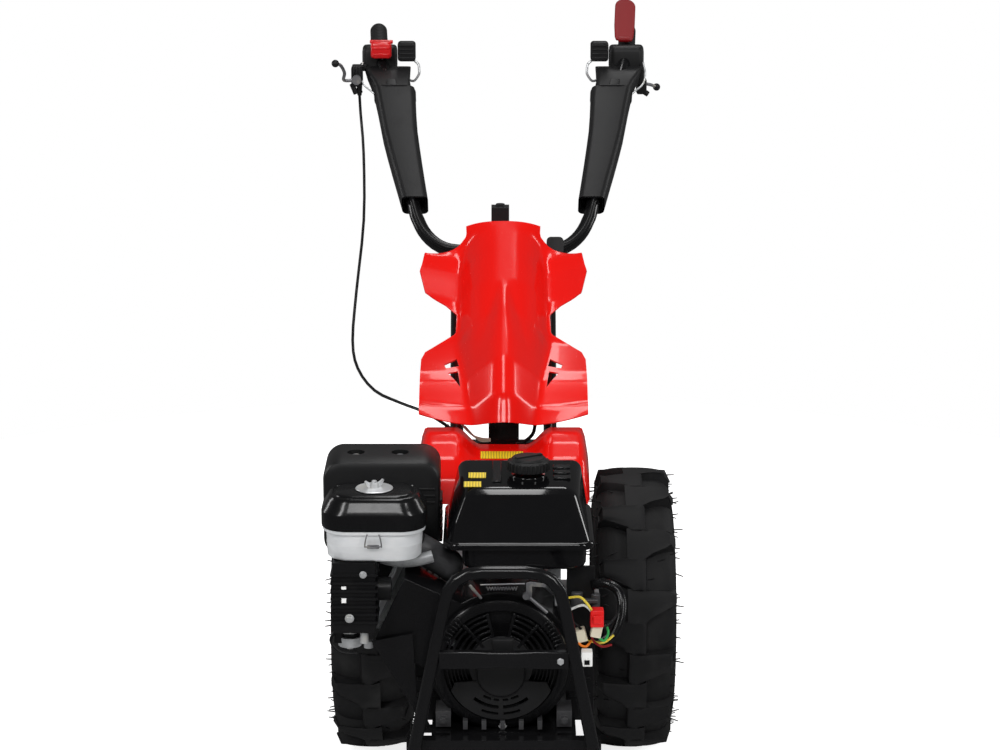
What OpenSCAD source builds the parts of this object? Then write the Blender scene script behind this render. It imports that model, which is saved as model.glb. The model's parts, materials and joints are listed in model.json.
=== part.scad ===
/* [Wheels] */
// Outer diameter of a tyre over its lugs
tyre_d = 520; // [510:2:530]
// Width of a tyre
tyre_w = 144; // [136:2:148]
// Distance between the middles of the two tyres
track = 478; // [474:2:500]
// Seat diameter of the rim
rim_d = 254; // [246:2:260]
// Lugs on each side of a tyre
lug_count = 14; // [10:1:16]
// Diameter of an axle shaft
axle_d = 35; // [30:1:36]

/* [Engine] */
// Sideways place of the crankshaft
crank_x = -5; // [-8:1:-2]
// Height of the crankshaft above the ground
crank_z = 311; // [309:1:313]
// Diameter of the recoil starter cover
recoil_d = 233; // [226:1:236]
// Cylinder bore
bore_d = 90; // [80:1:92]
// Slant of the cylinder above the horizontal
slant = 25; // [22:1:28]
// Lengthwise place of the front face of the fan housing
shroud_y = -437; // [-439:1:-436]

/* [Frame] */
// Distance from the middle of the machine forward to the axle
axle_back = 313; // [300:1:325]
// Height of the underside of the frame rails
rail_z = 173; // [168:1:176]
// Tube diameter of the bumper hoop
hoop_d = 22; // [20:1:24]
// Lengthwise place of the bumper hoop
hoop_y = -515; // [-520:1:-512]

/* [Handles] */
// Tube diameter of the handlebar
bar_d = 27; // [24:1:28]
// Wall of the handlebar tube
bar_wall = 3; // [2:0.5:5]
// Diameter of a hand grip
grip_d = 37; // [34:1:40]
// Diameter of the throttle cable
cable_d = 6; // [5:0.5:7]

/* [Hidden] */
$fn = 64;

// Running clearance on a radius
fit = 0.05;
wheel_z = tyre_d / 2;
wheel_x = track / 2;
tyre_half = tyre_w / 2;
seat_r = rim_d / 2;
carcass_r = tyre_d / 2 - 17;
axle_r = axle_d / 2;
crank_r = 17.5;
input_r = 12.5;
stub_r = 11.5;
post_r = 10;
pin_r = 8;
deck_z = rail_z + 20;
block_y = [-330, -150];
case_y = [-80, 150];
pivot = [0, 110, 420];
cylinder_y = -276;
stand_y = -112;
stand_z = 158;
jaw_y = 365;

// Middle lines of the left half of the handlebar, from the middle of the U to the grip's end
bar_path = [
    [0, 600, 812], [-90, 600, 813], [-128, 612, 820], [-156, 636, 838], [-174, 664, 864],
    [-186, 700, 898], [-240, 915, 1090], [-256, 975, 1138], [-264, 1020, 1160], [-271, 1140, 1188]
];
// Route of the throttle cable, from the throttle block to the clip on the left stem
cable_route = [
    [-305, 948, 1078], [-303, 944, 1040], [-296, 910, 960], [-294, 840, 829], [-306, 740, 700],
    [-309, 620, 622], [-294, 520, 588], [-255, 400, 573], [-201, 280, 580], [-150, 190, 585],
    [-108, 142, 572]
];
// Outline of the upper hood: share of its length, and its half width there
hood_outline = [
    [0, 157], [0.1, 158], [0.4, 157], [0.455, 150], [0.5, 126], [0.54, 92], [0.63, 90],
    [0.665, 112], [0.685, 134], [0.71, 152], [0.82, 164], [0.9, 155], [0.955, 90], [0.975, 73], [1, 74]
];
// Crest line of the upper hood: share of its length, and the place and height there
hood_crest = [
    [0, -3, 617], [0.08, 20, 662], [0.22, 90, 716], [0.45, 205, 764], [0.7, 335, 820], [1, 500, 895]
];

// ---- Helpers ----

module placed(shade) {
    color(shade) translate([0, -axle_back, 0]) children();
}

// Turns a piece's own axis to run forward from a place on the crankshaft line
module on_crank(y) {
    translate([crank_x, y, crank_z]) rotate([90, 0, 0]) children();
}

// Turns a piece's own axis to run up along the cylinder
module on_cylinder() {
    translate([crank_x, cylinder_y, crank_z]) rotate([0, slant - 90, 0]) children();
}

module box(low, high) {
    translate(low) cube(high - low);
}

module rod(p, q, d) {
    v = q - p;
    translate(p)
        rotate([0, acos(v[2] / norm(v)), atan2(v[1], v[0])])
            cylinder(h = norm(v), d = d, $fn = 32);
}

module pipe(path, d) {
    for (i = [1:len(path) - 1]) rod(path[i - 1], path[i], d);
    for (i = [1:len(path) - 2]) translate(path[i]) sphere(d = d + 0.2, $fn = 32);
}

module rounded_rect(w, h, r) {
    square([w - 2 * r, h], center = true);
    square([w, h - 2 * r], center = true);
    for (x = [-1, 1], y = [-1, 1]) translate([x * (w / 2 - r), y * (h / 2 - r)]) circle(r);
}

module rounded_block(w, h, r, height) {
    linear_extrude(height) rounded_rect(w, h, r);
}

function moved(path, by) = [for (p = path) p + by];
function mirrored(path) = [for (p = path) [-p[0], p[1], p[2]]];

// Smooth curve through hand-set points, with a few steps between each two
function blend(a, b, c, d, t) =
    0.5 * (2 * b + (c - a) * t + (2 * a - 5 * b + 4 * c - d) * t * t
        + (3 * b - a - 3 * c + d) * t * t * t);
function smooth(path, steps) = let (n = len(path) - 1) [
    for (i = [0:n - 1], k = [0:steps - 1])
        blend(path[max(i - 1, 0)], path[i], path[i + 1], path[min(i + 2, n)], k / steps),
    path[n]
];

// Round tube of flat sides swept along a path, with a bore where hole is above zero.
// aside is a direction that the path never runs along.
function tube_ring(path, i, r, sides, aside) =
    let (
        along = path[min(i + 1, len(path) - 1)] - path[max(i - 1, 0)],
        side = cross(along, aside),
        u = side / norm(side),
        w = cross(along, u) / norm(along)
    )
    [for (k = [0:sides - 1]) path[i] + r * (u * cos(360 * k / sides) + w * sin(360 * k / sides))];
function tube_walls(rings, sides, first) = [
    for (i = [0:rings - 2], k = [0:sides - 1])
        let (a = first + i * sides + k, b = first + i * sides + (k + 1) % sides)
        [a, b, b + sides, a + sides]
];
function turned(faces) = [for (f = faces) [for (k = [len(f) - 1:-1:0]) f[k]]];
function end_rings(first, second, sides) = [
    for (k = [0:sides - 1]) [first + (k + 1) % sides, first + k, second + k, second + (k + 1) % sides]
];

module swept_tube(path, r, sides, aside, hole = 0) {
    n = len(path);
    last = (n - 1) * sides;
    skin = [for (i = [0:n - 1]) each tube_ring(path, i, r, sides, aside)];
    if (hole > 0) {
        bore = [for (i = [0:n - 1]) each tube_ring(path, i, hole, sides, aside)];
        faces = concat(
            tube_walls(n, sides, 0), turned(tube_walls(n, sides, n * sides)),
            end_rings(0, n * sides, sides), turned(end_rings(last, n * sides + last, sides))
        );
        polyhedron(points = concat(skin, bore), faces = faces, convexity = 8);
    } else {
        caps = [[for (k = [sides - 1:-1:0]) k], [for (k = [0:sides - 1]) last + k]];
        polyhedron(points = skin, faces = concat(tube_walls(n, sides, 0), caps), convexity = 8);
    }
}

// Closed shell between an outer grid of points and the same grid moved inward
module shell(outer, inner) {
    rows = len(outer);
    cols = len(outer[0]);
    count = rows * cols;
    points = concat([for (row = outer) each row], [for (row = inner) each row]);
    sheet = [
        for (i = [0:rows - 2], j = [0:cols - 2])
            let (a = i * cols + j)
            each [[a, a + 1, a + cols + 1], [a, a + cols + 1, a + cols]]
    ];
    back = [for (f = sheet) [f[2] + count, f[1] + count, f[0] + count]];
    rim = concat(
        [for (j = [0:cols - 2]) j],
        [for (i = [0:rows - 2]) i * cols + cols - 1],
        [for (j = [cols - 1:-1:1]) (rows - 1) * cols + j],
        [for (i = [rows - 1:-1:1]) i * cols]
    );
    edge = [
        for (k = [0:len(rim) - 1])
            let (a = rim[k], b = rim[(k + 1) % len(rim)])
            each [[b, a, a + count], [b, a + count, b + count]]
    ];
    polyhedron(points = points, faces = concat(sheet, back, edge), convexity = 8);
}

// ---- Wheels ----

module tyre() {
    outer = [
        [seat_r, tyre_half - 22], [seat_r + 6, tyre_half - 16], [seat_r + 34, tyre_half - 3],
        [carcass_r - 50, tyre_half], [carcass_r - 18, tyre_half - 6], [carcass_r - 3, tyre_half - 24]
    ];
    inner = [
        [seat_r, tyre_half - 32], [seat_r + 8, tyre_half - 28], [seat_r + 36, tyre_half - 13],
        [carcass_r - 50, tyre_half - 10], [carcass_r - 22, tyre_half - 16],
        [carcass_r - 14, tyre_half - 30]
    ];
    last = len(outer) - 1;
    profile = concat(
        outer, [[carcass_r + 3, 0]], [for (i = [last:-1:0]) [outer[i][0], -outer[i][1]]],
        [for (p = inner) [p[0], -p[1]]], [for (i = [last:-1:0]) inner[i]]
    );
    rotate([0, 90, 0]) rotate_extrude($fn = 96) polygon(profile);
    rotate([0, 90, 0]) intersection() {
        cylinder(h = tyre_w - 8, r = wheel_z, center = true, $fn = 96);
        for (side = [0, 1], i = [0:lug_count - 1])
            mirror([0, 0, side]) rotate([0, 0, (i + side / 2) * 360 / lug_count])
                translate([carcass_r - 12, 0, 0]) rotate([-38, 0, 0])
                    translate([0, -10, 3]) cube([32, 20, 92]);
    }
}

module rim() {
    edge = tyre_half - 22;
    outer = [
        [seat_r + 12, edge + 3], [seat_r + 12, edge], [seat_r, edge], [seat_r, edge - 18],
        [seat_r - 18, edge - 26]
    ];
    inner = [[seat_r - 3, edge + 3], [seat_r - 3, edge - 16], [seat_r - 21, edge - 24]];
    profile = concat(
        outer, [for (i = [4:-1:0]) [outer[i][0], -outer[i][1]]],
        [for (p = inner) [p[0], -p[1]]], [for (i = [2:-1:0]) inner[i]]
    );
    rotate([0, 90, 0]) {
        rotate_extrude($fn = 96) polygon(profile);
        difference() {
            translate([0, 0, 8]) cylinder(h = 5, r = seat_r - 19);
            cylinder(h = 40, r = 31);
            for (a = [0:72:359]) rotate([0, 0, a]) translate([49, 0, 0]) cylinder(h = 40, r = 7);
            for (a = [36:72:359]) rotate([0, 0, a]) translate([78, 0, 0]) cylinder(h = 40, r = 12);
        }
    }
}

module axle() {
    rotate([0, 90, 0]) {
        translate([0, 0, 8]) cylinder(h = wheel_x - 8, r = axle_r);
        translate([0, 0, wheel_x - 4]) cylinder(h = 12, r = 62);
        translate([0, 0, wheel_x - 30]) cylinder(h = 54, r = 30.5);
        for (a = [0:72:359]) rotate([0, 0, a]) translate([49, 0, wheel_x]) {
            cylinder(h = 28, r = 6);
            translate([0, 0, 13]) cylinder(h = 10, r = 10.5, $fn = 6);
        }
    }
}

module tyre_left() {
    placed("#161616") translate([-wheel_x, 0, wheel_z]) tyre();
}

module tyre_right() {
    placed("#161616") translate([wheel_x, 0, wheel_z]) tyre();
}

module rim_left() {
    placed("#1c1c1c") translate([-wheel_x, 0, wheel_z]) mirror([1, 0, 0]) rim();
}

module rim_right() {
    placed("#1c1c1c") translate([wheel_x, 0, wheel_z]) rim();
}

module axle_left() {
    placed("silver") translate([0, 0, wheel_z]) mirror([1, 0, 0]) axle();
}

module axle_right() {
    placed("silver") translate([0, 0, wheel_z]) axle();
}

// ---- Transmission ----

module gearbox_case() {
    placed("#2a2a2c") difference() {
        union() {
            box([-70, case_y[0], 180], [70, case_y[1], 385]);
            translate([-150, 0, wheel_z]) rotate([0, 90, 0]) cylinder(h = 300, r = 38);
            box([-42, 75, 380], [42, 145, 420]);
            translate([-42, pivot[1], pivot[2]]) rotate([0, 90, 0]) cylinder(h = 84, r = 22);
            box([-92, case_y[0], 190], [92, case_y[0] + 14, 250]);
        }
        box([-60, case_y[0] + 10, 190], [60, case_y[1] - 12, 375]);
        translate([-151, 0, wheel_z]) rotate([0, 90, 0]) cylinder(h = 302, r = axle_r + fit);
        translate([-43, pivot[1], pivot[2]]) rotate([0, 90, 0]) cylinder(h = 86, r = pin_r + fit);
        on_crank(case_y[1] + 1) cylinder(h = 240, r = input_r + fit);
    }
}

module bell_housing() {
    placed("#8b8d90") difference() {
        union() {
            on_crank(case_y[0]) cylinder(h = 70, r = 100);
            on_crank(block_y[1] + 10) cylinder(h = 10, r = 108);
        }
        on_crank(case_y[0] - 10) cylinder(h = 70, r = 91);
        on_crank(case_y[0] + 1) cylinder(h = 40, r = input_r + fit);
    }
}

module clutch_drum() {
    placed("#77797c") difference() {
        on_crank(-98) cylinder(h = 42, r = 78);
        on_crank(-97) cylinder(h = 33, r = 68);
        on_crank(-90) cylinder(h = 70, r = crank_r);
    }
}

module clutch_disc() {
    placed("#5c5248") difference() {
        on_crank(-104) cylinder(h = 18, r = 64);
        on_crank(-100) cylinder(h = 30, r = input_r);
    }
}

module input_shaft() {
    placed("silver") {
        on_crank(152) cylinder(h = 274, r = input_r);
        on_crank(190) cylinder(h = 40, r = stub_r);
        on_crank(-20) cylinder(h = 38, r = 16);
    }
}

module drive_wheel() {
    placed("#9a9ca0") difference() {
        translate([11.4, 0, wheel_z]) rotate([0, 90, 0]) {
            cylinder(h = 14, r = 68);
            cylinder(h = 40, r = 30);
        }
        translate([0, 0, wheel_z]) rotate([0, 90, 0]) cylinder(h = 60, r = axle_r + fit);
    }
}

// ---- Engine ----

module crankcase() {
    placed("#7f8285") difference() {
        union() {
            box([-100, block_y[0], deck_z], [100, block_y[1], 420]);
            box([-122, block_y[0] - 6, deck_z], [122, block_y[1] - 4, deck_z + 10]);
            for (x = [-60, 78], y = [-318, -190]) box([x, y, 410], [x + 22, y + 20, 470]);
            for (x = [-110, 110], y = [-315, -175])
                translate([x, y, deck_z + 9]) cylinder(h = 8, r = 9, $fn = 6);
            box([88, -395, 396], [116, -320, 420]);
            box([100, -395, 404], [164, -372, 420]);
        }
        box([-92, block_y[0] + 8, deck_z + 8], [92, block_y[1] - 8, 412]);
        on_crank(block_y[1] + 10) cylinder(h = 220, r = crank_r + fit);
        on_cylinder() cylinder(h = 160, r = bore_d / 2);
    }
}

module cylinder_barrel() {
    placed("#6f7275") difference() {
        on_cylinder() {
            translate([-56, -52, 95]) cube([112, 104, 130]);
            for (z = [122:12:218]) translate([-70, -58, z]) cube([140, 116, 3]);
        }
        box([-101, block_y[0] - 20, deck_z - 20], [200, block_y[1] + 20, 440]);
        on_cylinder() translate([0, 0, 60]) cylinder(h = 95, r = bore_d / 2);
        translate([-330, 0, wheel_z]) rotate([0, 90, 0]) cylinder(h = 168, r = wheel_z + 8);
        box([-340, -350, 455], [-104, -140, 520]);
    }
}

module valve_cover() {
    placed("#1b1b1c") on_cylinder() translate([0, 0, 225]) difference() {
        rounded_block(84, 72, 16, 30);
        translate([0, 0, -1]) rounded_block(76, 64, 12, 27);
    }
}

module shroud_outline(grow) {
    circle(124 + grow);
    rotate(180 - slant) translate([0, -66 - grow]) square([212 + grow, 132 + 2 * grow]);
}

module fan_shroud() {
    placed("#121213") difference() {
        on_crank(-336) linear_extrude(-336 - shroud_y) shroud_outline(0);
        on_crank(-335) linear_extrude(-336 - shroud_y - 2) shroud_outline(-3);
        on_crank(-336) cylinder(h = 200, r = 104);
        box([-150, shroud_y - 5, 150], [150, -330, deck_z]);
    }
}

module flywheel() {
    placed("#3a3a3c") difference() {
        union() {
            on_crank(-362) cylinder(h = 14, r = 100);
            on_crank(-362) cylinder(h = 56, r = 34);
            for (a = [0:30:359]) on_crank(-370) rotate([0, 0, a]) translate([40, -2, 0]) cube([54, 4, 46]);
        }
        on_crank(-300) cylinder(h = 200, r = crank_r);
    }
}

module crankshaft() {
    placed("silver") {
        on_crank(-132) cylinder(h = 296, r = crank_r);
        for (y = [-241, -293]) on_crank(y) {
            cylinder(h = 18, r = 46);
            translate([-34, -46, 0]) cube([68, 40, 18]);
        }
    }
}

module arc_slot(r, w, from, to) {
    linear_extrude(80) intersection() {
        difference() {
            circle(r + w);
            circle(r);
        }
        polygon([[0, 0], 200 * [cos(from), sin(from)], 200 * [cos((from + to) / 2), sin((from + to) / 2)],
            200 * [cos(to), sin(to)]]);
    }
}

module recoil_cover() {
    r = recoil_d / 2;
    profile = [
        [0, 38], [62, 38], [68, 34], [96, 31], [104, 24], [r, 16], [r, 0], [r - 3, 0], [r - 3, 14],
        [102, 21], [94, 28], [67, 31], [61, 35], [0, 35]
    ];
    placed("#0f0f10") on_crank(shroud_y) difference() {
        union() {
            rotate_extrude($fn = 96) polygon(profile);
            cylinder(h = 36, r = post_r);
            for (a = [30, 90, 150, 210, 270, 330]) rotate(a) translate([r - 6, 0, 0]) cylinder(h = 12, r = 5);
        }
        for (ring = [73, 85], a = [10, 38, 96, 124]) translate([0, 0, 20]) arc_slot(ring, 6, a, a + 26);
        for (ring = [50], a = [214, 274]) translate([0, 0, 20]) arc_slot(ring, 7, a, a + 52);
    }
}

module recoil_pulley() {
    placed("#2b2b2d") difference() {
        on_crank(shroud_y - 5) {
            cylinder(h = 22, r = 46);
            cylinder(h = 4, r = 54);
            translate([0, 0, 18]) cylinder(h = 4, r = 54);
        }
        on_crank(shroud_y) cylinder(h = 60, r = post_r + fit);
    }
}

module recoil_handle() {
    placed("#0d0d0e") {
        translate([-2, -492, 366]) rotate([90, 0, 0]) translate([0, 0, -8]) rounded_block(40, 12, 5, 17);
        box([-12, -498, 336], [8, -486, 362]);
    }
}

module carburettor() {
    placed("#141415") {
        box([-290, -466, 372], [-218, -396, 497]);
        for (z = [390:14:480]) box([-294, -470, z], [-214, -392, z + 4]);
        translate([-264, -424, 338]) cylinder(h = 36, r = 17);
        box([-290, -440, 345], [-276, -410, 376]);
        rod([-218, -430, 440], [-192, -430, 440], 40);
    }
}

module intake_elbow() {
    placed("#a3a6a8") {
        rod([-150, -372, 497], [-96, -362, 462], 52);
        translate([-96, -362, 462]) sphere(d = 53);
        rod([-96, -362, 462], [-92, -345, 442], 40);
    }
}

module filter_shape(w, h, z, high) {
    translate([-220.5, -402, z]) rounded_block(w, h, 44, high);
}

module filter_cover() {
    placed("#161617") difference() {
        hull() {
            filter_shape(179, 134, 552, 28);
            filter_shape(156, 112, 600, 9);
        }
        filter_shape(171, 126, 551, 30);
        filter_shape(140, 96, 575, 28);
        translate([-220.5, -402, 560]) cylinder(h = 80, r = 5);
    }
}

module filter_bowl() {
    placed("#b9bcc0") difference() {
        union() {
            filter_shape(163, 120, 497, 50);
            filter_shape(175, 130, 546, 6);
        }
        filter_shape(155, 112, 501, 60);
    }
}

module filter_element() {
    placed("#c9a23a") translate([-220.5, -402, 502]) difference() {
        cylinder(h = 72, r = 44);
        translate([0, 0, -1]) cylinder(h = 60, r = 26);
        cylinder(h = 90, r = 5.5);
    }
}

module wing_nut() {
    placed("silver") translate([-220.5, -402, 0]) {
        translate([0, 0, 530]) cylinder(h = 90, r = 4.5);
        translate([0, 0, 609.2]) cylinder(h = 2.3, r = 32);
        translate([0, 0, 611]) cylinder(h = 9, r = 9);
        for (a = [0, 180]) rotate([0, 0, a]) translate([6, -2, 613]) cube([12, 4, 13]);
    }
}

module muffler() {
    placed("#18181a") difference() {
        union() {
            translate([-212, -200, 549]) rotate([90, 0, 0]) rounded_block(202, 172, 30, 130);
            for (z = [490:12:560]) box([-112, -322, z], [-107, -262, z + 4]);
            rod([-212, -210, 490], [-212, -180, 490], 34);
        }
        translate([-212, -203, 549]) rotate([90, 0, 0]) rounded_block(196, 166, 27, 124);
        for (x = [-258, -181]) translate([x, -264, 626]) cylinder(h = 20, r = 14);
        rod([-212, -230, 490], [-212, -170, 490], 28);
    }
}

module tank_post(x, y, r, low, high) {
    translate([x, y, low]) cylinder(h = high - low, r = r, $fn = 32);
}

module fuel_tank() {
    placed("#0c0c0d") {
        translate([35, -310, 470]) rounded_block(212, 228, 24, 40);
        translate([25.5, -310, 508]) rounded_block(259, 250, 26, 13);
        hull() {
            for (x = [-80, 131], y = [-412, -206]) tank_post(x, y, 18, 519, 524);
            for (x = [-45, 102]) tank_post(x, -344, 16, 584, 594);
            for (x = [-64, 121]) tank_post(x, -236, 16, 600, 614);
        }
        translate([43, -300, 590]) cylinder(h = 23, r = 30);
    }
}

module tank_cap() {
    placed("#111112") translate([43, -300, 613.3]) {
        cylinder(h = 18, r = 37);
        for (a = [0:15:359]) rotate([0, 0, a]) translate([37, 0, 2]) cylinder(h = 16, r = 2.2, $fn = 16);
        translate([0, 0, 18]) cylinder(h = 6, r = 31);
    }
}

module starter_motor() {
    placed("#1a1a1b") {
        on_crank(-336) translate([137, -56, -146]) cylinder(h = 146, r = 26);
        on_crank(-320) translate([137, -20, -100]) cylinder(h = 66, r = 15);
        box([100, -240, 240], [112, -220, 270]);
    }
}

module wiring_box() {
    placed("#d6d3c6") {
        box([120, -430, 350], [152, -404, 392]);
        box([147, -438, 372], [172, -414, 402]);
        box([132, -446, 304], [152, -424, 330]);
        box([124, -424, 326], [146, -400, 352]);
        box([119.5, -420, 330], [133, -360, 344]);
    }
}

module wiring_conduit() {
    placed("#151516") swept_tube(smooth([
        [150, -402, 436], [172, -396, 438], [194, -388, 424], [203, -382, 398], [200, -376, 362],
        [186, -370, 332], [164, -366, 314]
    ], 3), 9, 16, [0, 1, 0]);
}

// ---- Frame ----

module hoop_shape() {
    half = [[154, 172], [114, 373], [101, 438], [94, 464], [80, 483], [60, 494], [36, 497]];
    left = [for (p = half) [-p[0], hoop_y, p[1]]];
    right = [for (i = [len(half) - 1:-1:0]) [half[i][0], hoop_y, half[i][1]]];
    swept_tube(concat(left, right), hoop_d / 2, 24, [0, 1, 0]);
}

module bumper_hoop() {
    placed("#101011") hoop_shape();
}

module bumper_crossbar() {
    placed("#101011") translate([0, hoop_y, 343]) rotate([90, 0, 0]) translate([0, 0, -8])
        linear_extrude(16) difference() {
            square([219, 30], center = true);
            for (side = [-1, 1]) translate([0, side * 713]) circle(r = 700, $fn = 200);
        }
}

module base_frame() {
    placed("#141415") {
        difference() {
            box([-166, hoop_y + 9, rail_z], [166, -482, rail_z + 20]);
            hoop_shape();
        }
        for (x = [-1, 1]) box([min(x * 62, x * 92), -490, rail_z], [max(x * 62, x * 92), -112, deck_z]);
        box([-124, -470, deck_z - 8], [124, -148, deck_z]);
        difference() {
            box([-92, -138, rail_z], [92, -112, 236]);
            on_crank(0) cylinder(h = 200, r = 100);
            on_crank(-130) cylinder(h = 40, r = 108);
        }
        box([-92, -112, 196], [92, case_y[0], 206]);
        difference() {
            for (x = [-31, 31]) box([x - 4, stand_y - 12, stand_z - 12], [x + 4, stand_y + 12, 200]);
            translate([-50, stand_y, stand_z]) rotate([0, 90, 0]) cylinder(h = 100, r = pin_r + fit);
        }
        translate([0, -446, 0]) rotate([90, 0, 0]) translate([0, 0, -4])
            linear_extrude(4) polygon([
                [-226, 350], [-156, 364], [-150, 250], [-124, deck_z - 4], [-140, deck_z - 4], [-158, 232]
            ]);
        box([-142, -450, deck_z - 8], [-120, -430, deck_z]);
    }
}

// ---- Covers ----

function track_at(list, s, k) = lookup(s, [for (p = list) [p[0], p[k]]]);
// Height of the hood's surface under its crest line at a sideways place
function hood_drop(x, s) =
    let (
        core = lookup(s, [[0, 60], [0.2, 68], [0.45, 84], [0.8, 84], [1, 76]]),
        deep = lookup(s, [[0, 22], [0.1, 40], [0.5, 62], [0.85, 60], [0.95, 44], [1, 14]]),
        wing = lookup(s, [[0, 0.16], [0.3, 0], [0.5, 0.16], [0.7, -0.25], [0.9, -0.25], [0.95, 0.16]]),
        inside = min(abs(x) / core, 1),
        outside = max(abs(x) - core, 0),
        ridge_w = lookup(s, [[0, 60], [0.35, 52], [0.68, 14]]),
        ridge = s > 0.68 ? 0 : 14 * pow(cos(90 * min(abs(x) / ridge_w, 1)), 2) * min(1, (0.68 - s) * 6)
    )
    deep * pow(inside, 2.6) + wing * outside - ridge + 14 * min(1, (max(0.68 - s, 0)) * 6);
hood_stations = [
    0, 0.03, 0.06, 0.1, 0.15, 0.2, 0.25, 0.3, 0.35, 0.4, 0.43, 0.455, 0.48, 0.5, 0.52, 0.54, 0.58,
    0.63, 0.65, 0.665, 0.685, 0.71, 0.745, 0.78, 0.82, 0.86, 0.9, 0.93, 0.955, 0.975, 1
];
hood_columns = [for (k = [-16:16]) k / 16];
function hood_row(s, t) = let (w = track_at(hood_outline, s, 1)) [
    for (u = hood_columns)
        let (x = u * w)
        let (lean = lookup(s, [[0, 62], [0.12, 40], [0.3, 24]]), lift = 30 * u * u * max(0, 1 - s * 7))
        [
            x * (1 - t / 95),
            track_at(hood_crest, s, 1) + hood_drop(x, s) * sin(lean) + t * 0.8,
            track_at(hood_crest, s, 2) - hood_drop(x, s) * cos(lean) + lift - t
        ]
];

module upper_hood() {
    placed("#e2120d") difference() {
        shell([for (s = hood_stations) hood_row(s, 0)], [for (s = hood_stations) hood_row(s, 3)]);
        for (side = [-1, 1]) translate([side * 96, 0, 0]) rotate([24, 0, 0]) {
            translate([0, 0, 500]) linear_extrude(400) polygon([
                [side * -7, 464], [side * 16.5, 445], [side * 13, 430], [side * -12, 437]
            ]);
            translate([0, 0, 500]) linear_extrude(400) polygon([
                [side * -10, 418], [side * 9, 412], [side * -15, 366]
            ]);
        }
    }
}

// Rows of the lower cover run from its front foot over the top to its back edge
cover_profile = [
    [0, -118, 486, 0.5], [0.25, -98, 524, 0.75], [0.5, -68, 550, 0.95], [0.75, -24, 566, 1],
    [0.9, 20, 574, 1], [1, 60, 572, 1]
];
function cover_lobe(x, s) =
    let (t = min(max(abs(x) - 42, 0) / 47, 1), fall = max(abs(x) - 143, 0) / 14)
    track_at(cover_profile, s, 3) * (33 * t * t * (3 - 2 * t) - 14) - 50 * pow(fall, 2.2);
function cover_row(s, t) = [
    for (u = [-12:12])
        let (x = u / 12 * lookup(s, [[0, 150], [0.3, 157], [1, 157]]))
        [
            x * (1 - t / 150),
            track_at(cover_profile, s, 1) + t * 0.9,
            track_at(cover_profile, s, 2) + cover_lobe(x, s) - t
        ]
];
cover_stations = [for (k = [0:12]) k / 12];

module lower_cover() {
    placed("#e2120d")
        shell([for (s = cover_stations) cover_row(s, 0)], [for (s = cover_stations) cover_row(s, 3)]);
}

// ---- Handles ----

module steering_column() {
    placed("#121213") {
        for (x = [-55, 43]) translate([x, 0, 0]) {
            translate([0, pivot[1], pivot[2]]) rotate([0, 90, 0]) cylinder(h = 12, r = 22);
            box([0, 88, 420], [12, 132, 470]);
        }
        box([-55, 84, 452], [55, 146, 470]);
        translate([-58, pivot[1], pivot[2]]) rotate([0, 90, 0]) cylinder(h = 116, r = pin_r);
        box([-28, 92, 468], [29, 146, 606]);
        box([-96, 106, 528], [96, 130, 548]);
        for (x = [-1, 1]) rod([x * 88, 112, 534], [x * 93, 578, 801], 25);
        box([-10, 108, 604], [10, 128, 700]);
        rod(cable_route[10], [-93, 134, 554], 9);
        box([103, 506, 742], [107, 534, 758]);
    }
}

module handlebar() {
    half = smooth(bar_path, 3);
    path = concat([for (i = [len(half) - 1:-1:1]) half[i]], mirrored(half));
    placed("#0e0e0f") swept_tube(path, bar_d / 2, 20, [0, 1, -1], bar_d / 2 - bar_wall);
}

module sleeve_section(at, w, depth) {
    translate(at) rotate([-48, 0, 0]) linear_extrude(1) square([w, depth], center = true);
}

module sleeve() {
    difference() {
        union() {
            hull() {
                sleeve_section([-181, 692, 890], 54, 60);
                sleeve_section([-214, 822, 1008], 72, 66);
            }
            hull() {
                sleeve_section([-214, 822, 1008], 72, 66);
                sleeve_section([-228, 906, 1082], 84, 74);
            }
        }
        hull() {
            sleeve_section([-179.5, 687, 885.5], 46, 52);
            sleeve_section([-214, 822, 1008], 64, 58);
        }
        hull() {
            sleeve_section([-214, 821.5, 1007.5], 64, 58);
            sleeve_section([-229.5, 913, 1088.2], 76, 66);
        }
    }
}

module sleeve_left() {
    placed("#1a1a1b") sleeve();
}

module sleeve_right() {
    placed("#1a1a1b") mirror([1, 0, 0]) sleeve();
}

module collar() {
    difference() {
        union() {
            box([-300, 975, 1128], [-226, 1022, 1178]);
            box([-292, 905, 1085], [-186, 912, 1130]);
            box([-292, 905, 1120], [-226, 980, 1140]);
            box([-228, 978, 1150], [-190, 1000, 1164]);
        }
        rod(bar_path[6], bar_path[8] + 0.2 * (bar_path[8] - bar_path[6]), bar_d + 1);
    }
}

module collar_left() {
    placed("#161617") {
        collar();
        box([-322, 936, 1098], [-298, 972, 1142]);
        box([-304, 960, 1128], [-290, 990, 1142]);
        translate([-305, 948, 1078]) cylinder(h = 24, r = 5.5);
    }
}

module collar_right() {
    placed("#161617") {
        mirror([1, 0, 0]) collar();
        box([286, 1000, 1072], [308, 1034, 1106]);
        box([288, 985, 1096], [302, 1018, 1134]);
    }
}

module grip() {
    start = bar_path[8] + [-0.4, 6, 1.4];
    end = bar_path[9] + [-0.5, 8, 1.9];
    difference() {
        rod(start, end, grip_d);
        rod(start - (end - start), bar_path[9], bar_d);
    }
}

module grip_left() {
    placed("#151516") grip();
}

module grip_right() {
    placed("#151516") mirror([1, 0, 0]) grip();
}

module clutch_lever() {
    placed("#9c1414") {
        translate([258, 1010, 1186]) rotate([40, 5, 0]) linear_extrude(6) {
            translate([-22, 0]) square([44, 96]);
            translate([0, 96]) circle(r = 22);
        }
        translate([246, 1010, 1189]) rotate([0, 90, 0]) cylinder(h = 24, r = 6);
    }
}

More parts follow.
